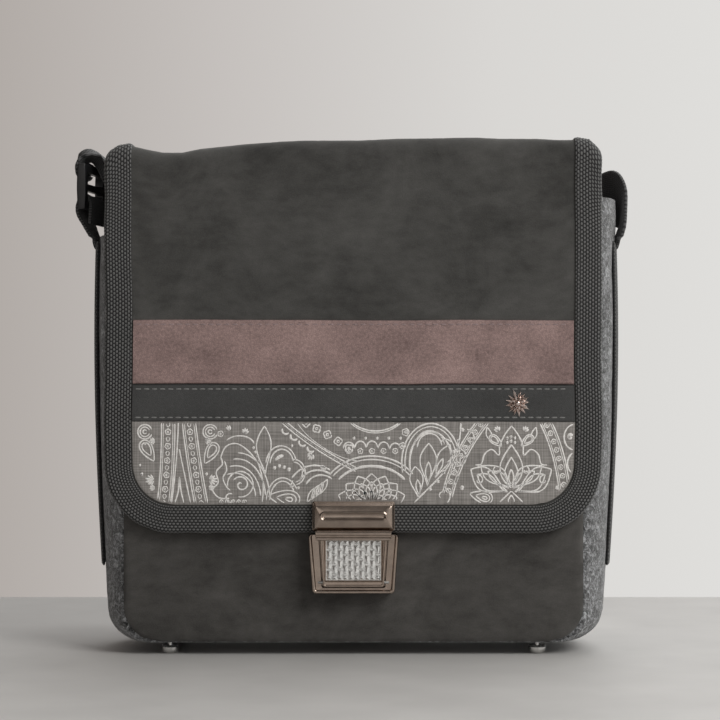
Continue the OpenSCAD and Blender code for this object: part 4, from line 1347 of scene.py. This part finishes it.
# The thick sides bow out a little, and the buckle leans with the strap.
x, u, z = co.T
on_side = np.abs(u) > 15.6
x = x + np.sign(x) * 0.5 * np.sin(np.pi * np.clip((z - 226) / 23, 0, 1)) * on_side
c8, s8 = math.cos(-LEAN), math.sin(-LEAN)
co = points(BX + x * c8 - u * s8, x * s8 + u * c8, z) * MM
bk.data.vertices.foreach_set("co", co.ravel())
bk.data.update()
put(bk, "strap", "plastic", "strap_buckle")

# ---- inside: mouth binding and linings

prof, across, face = tape_profile(13.0, 0.85, 5.0)
nx = 460
V, A = np.meshgrid(np.linspace(-112.5, 112.5, nx), across, indexing="ij")
h = weave(A, V) * 0.2 * face[None, :]
D, N = prof[None, :, 0], prof[None, :, 1]
edge = np.clip(1 - D / 2.4, 0, 1)
top_z = (237.1 - 0.6 * np.clip((np.abs(V) - 100) / 14, 0, 1) ** 2
         + 0.1 * rough(points(V, A, A), 20, 3))
pts = points(V, -HALF + 0.4 - N - np.sign(N) * h * (1 - edge) * 0.6,
                top_z - D + h * edge * 0.6)
put(tube("mouth_binding", pts, BIND, points(A, V + 120) / 100), "bag", "binding",
    "mouth_binding")

for node, side, seed in (("front_lining", -1, 71), ("back_lining", 1, 73)):
    put(panel(node, BODY_W - 15, 14.1, 9, 235.4, side * 35.25, side * 35.95, LINING, PITCH * 2,
              0.03, seed, 0.5), "bag", "lining", node)
lp = u_path(BODY_W - 14.4, SIDE_TOP - 1, BASE_Z + 7.2, 8, 5.0, 6)
ly = np.linspace(-35.1, 35.1, 21)
LP = np.repeat(lp[:, None, :], 21, 1)
LY = np.broadcast_to(ly, LP.shape[:2])


luv = points(travel(lp[:, :2])[:, None], LY + 40) / 100
put(slab("gusset_lining", *(strip_point(LP, LY, inset, 0.0, 0.0, 0.4) for inset in (0.1, 0.75)),
         LINING, luv), "bag", "lining", "gusset_lining")

# ---- hard pieces kept from the frame

for mat, slot, nodes in (
        (NICKEL, "nickel", "feet"),
        (STEEL, "steel", "foot_washers stud_cap housing_backplate housing_rivets case_backplate "
                         "case_rivets button_pin button_spring"),
        (BRONZE, "bronze", "tongue_hook"),
        (BOARD, "board", "base_board")):
    for node in nodes.split():
        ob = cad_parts[node]
        ob.data.materials.clear()
        ob.data.materials.append(mat)

# ---- setting and camera


def setting():
    """The camera at the front, a pale table, soft lights and a plain room."""
    cam = bpy.data.cameras.new("view")
    cam.lens, cam.sensor_width = 110, 36
    ob = bpy.data.objects.new("view", cam)
    ob.location = (0.00325, -1.145, 0.1485)
    ob.rotation_euler = (math.pi / 2, 0, 0)
    bpy.context.collection.objects.link(ob)
    bpy.context.scene.camera = ob
    m, nt, b, v = new_mat("table", False, Roughness=0.6, Specular_IOR_Level=0.2)
    warm = (1, 0.985, 0.965)
    paint(nt, b, ramp(nt, noise(nt, v, 60, 3, 0.5),
                      [(0.3, grey(0.53, warm)), (0.7, grey(0.59, warm))]))
    me = bpy.data.meshes.new("table")
    side, back = 1.6, 0.233
    me.from_pydata([(-side, -side, 0), (side, -side, 0), (side, back, 0), (-side, back, 0)], [],
                   [(0, 1, 2, 3)])
    me.materials.append(m)
    table = bpy.data.objects.new("table", me)
    bpy.context.collection.objects.link(table)
    for nm, loc, aim, size, power, col in (
            ("key", (0.85, -0.95, 0.95), (0, 0, 0.12), 0.7, 12, (1, 0.985, 0.96)),
            ("fill", (-0.5, -1.3, 0.6), (0, 0, 0.12), 0.9, 1.6, (1, 0.985, 0.96)),
            ("top", (0.1, 0.35, 1.3), (0, 0, 0.2), 0.8, 3, (1, 1, 1)),
            ("back", (0.4, 1.1, 0.8), (0, 0, 0.15), 0.8, 3, (1, 1, 1))):
        li = bpy.data.lights.new(nm, "AREA")
        li.size, li.energy, li.color = size, power, col
        lo = bpy.data.objects.new(nm, li)
        lo.location = loc
        d = np.array(aim, float) - np.array(loc, float)
        h = math.hypot(d[0], d[1])
        lo.rotation_euler = (math.atan2(h, -d[2]), 0, math.atan2(-d[0], d[1]))
        bpy.context.collection.objects.link(lo)
    world = bpy.data.worlds.new("room")
    bpy.context.scene.world = world
    world.use_nodes = True
    wt = world.node_tree
    seen = add(wt, "ShaderNodeSeparateXYZ", {0: add(wt, "ShaderNodeTexCoord").outputs["Generated"]})
    f = mth(wt, "MULTIPLY_ADD", seen.outputs[0], 0.5, 0.5)
    col = ramp(wt, f, [(0.0, (0.05, 0.04, 0.033)), (0.3, (0.13, 0.105, 0.09)),
                       (0.41, (0.42, 0.385, 0.36)), (0.47, (0.56, 0.53, 0.51)),
                       (0.53, (0.69, 0.675, 0.655)), (0.6, (0.755, 0.75, 0.73)),
                       (1.0, (0.8, 0.8, 0.79))])
    # The room is dimmer above and in front of the bag, so the top face isn't washed out.
    above = ease_in(wt, seen.outputs[2], 0.03, 0.4)
    in_front = ease_in(wt, seen.outputs[1], 0.1, -0.5)
    dim = mth(wt, "MULTIPLY_ADD", mth(wt, "MULTIPLY", above, in_front), -0.8, 1.0)
    lit = add(wt, "ShaderNodeVectorMath", {0: col}, operation="SCALE")
    wt.links.new(dim, lit.inputs["Scale"])
    wt.links.new(lit.outputs[0], wt.nodes["Background"].inputs["Color"])
    bpy.context.scene.view_settings.view_transform = "Standard"


setting()
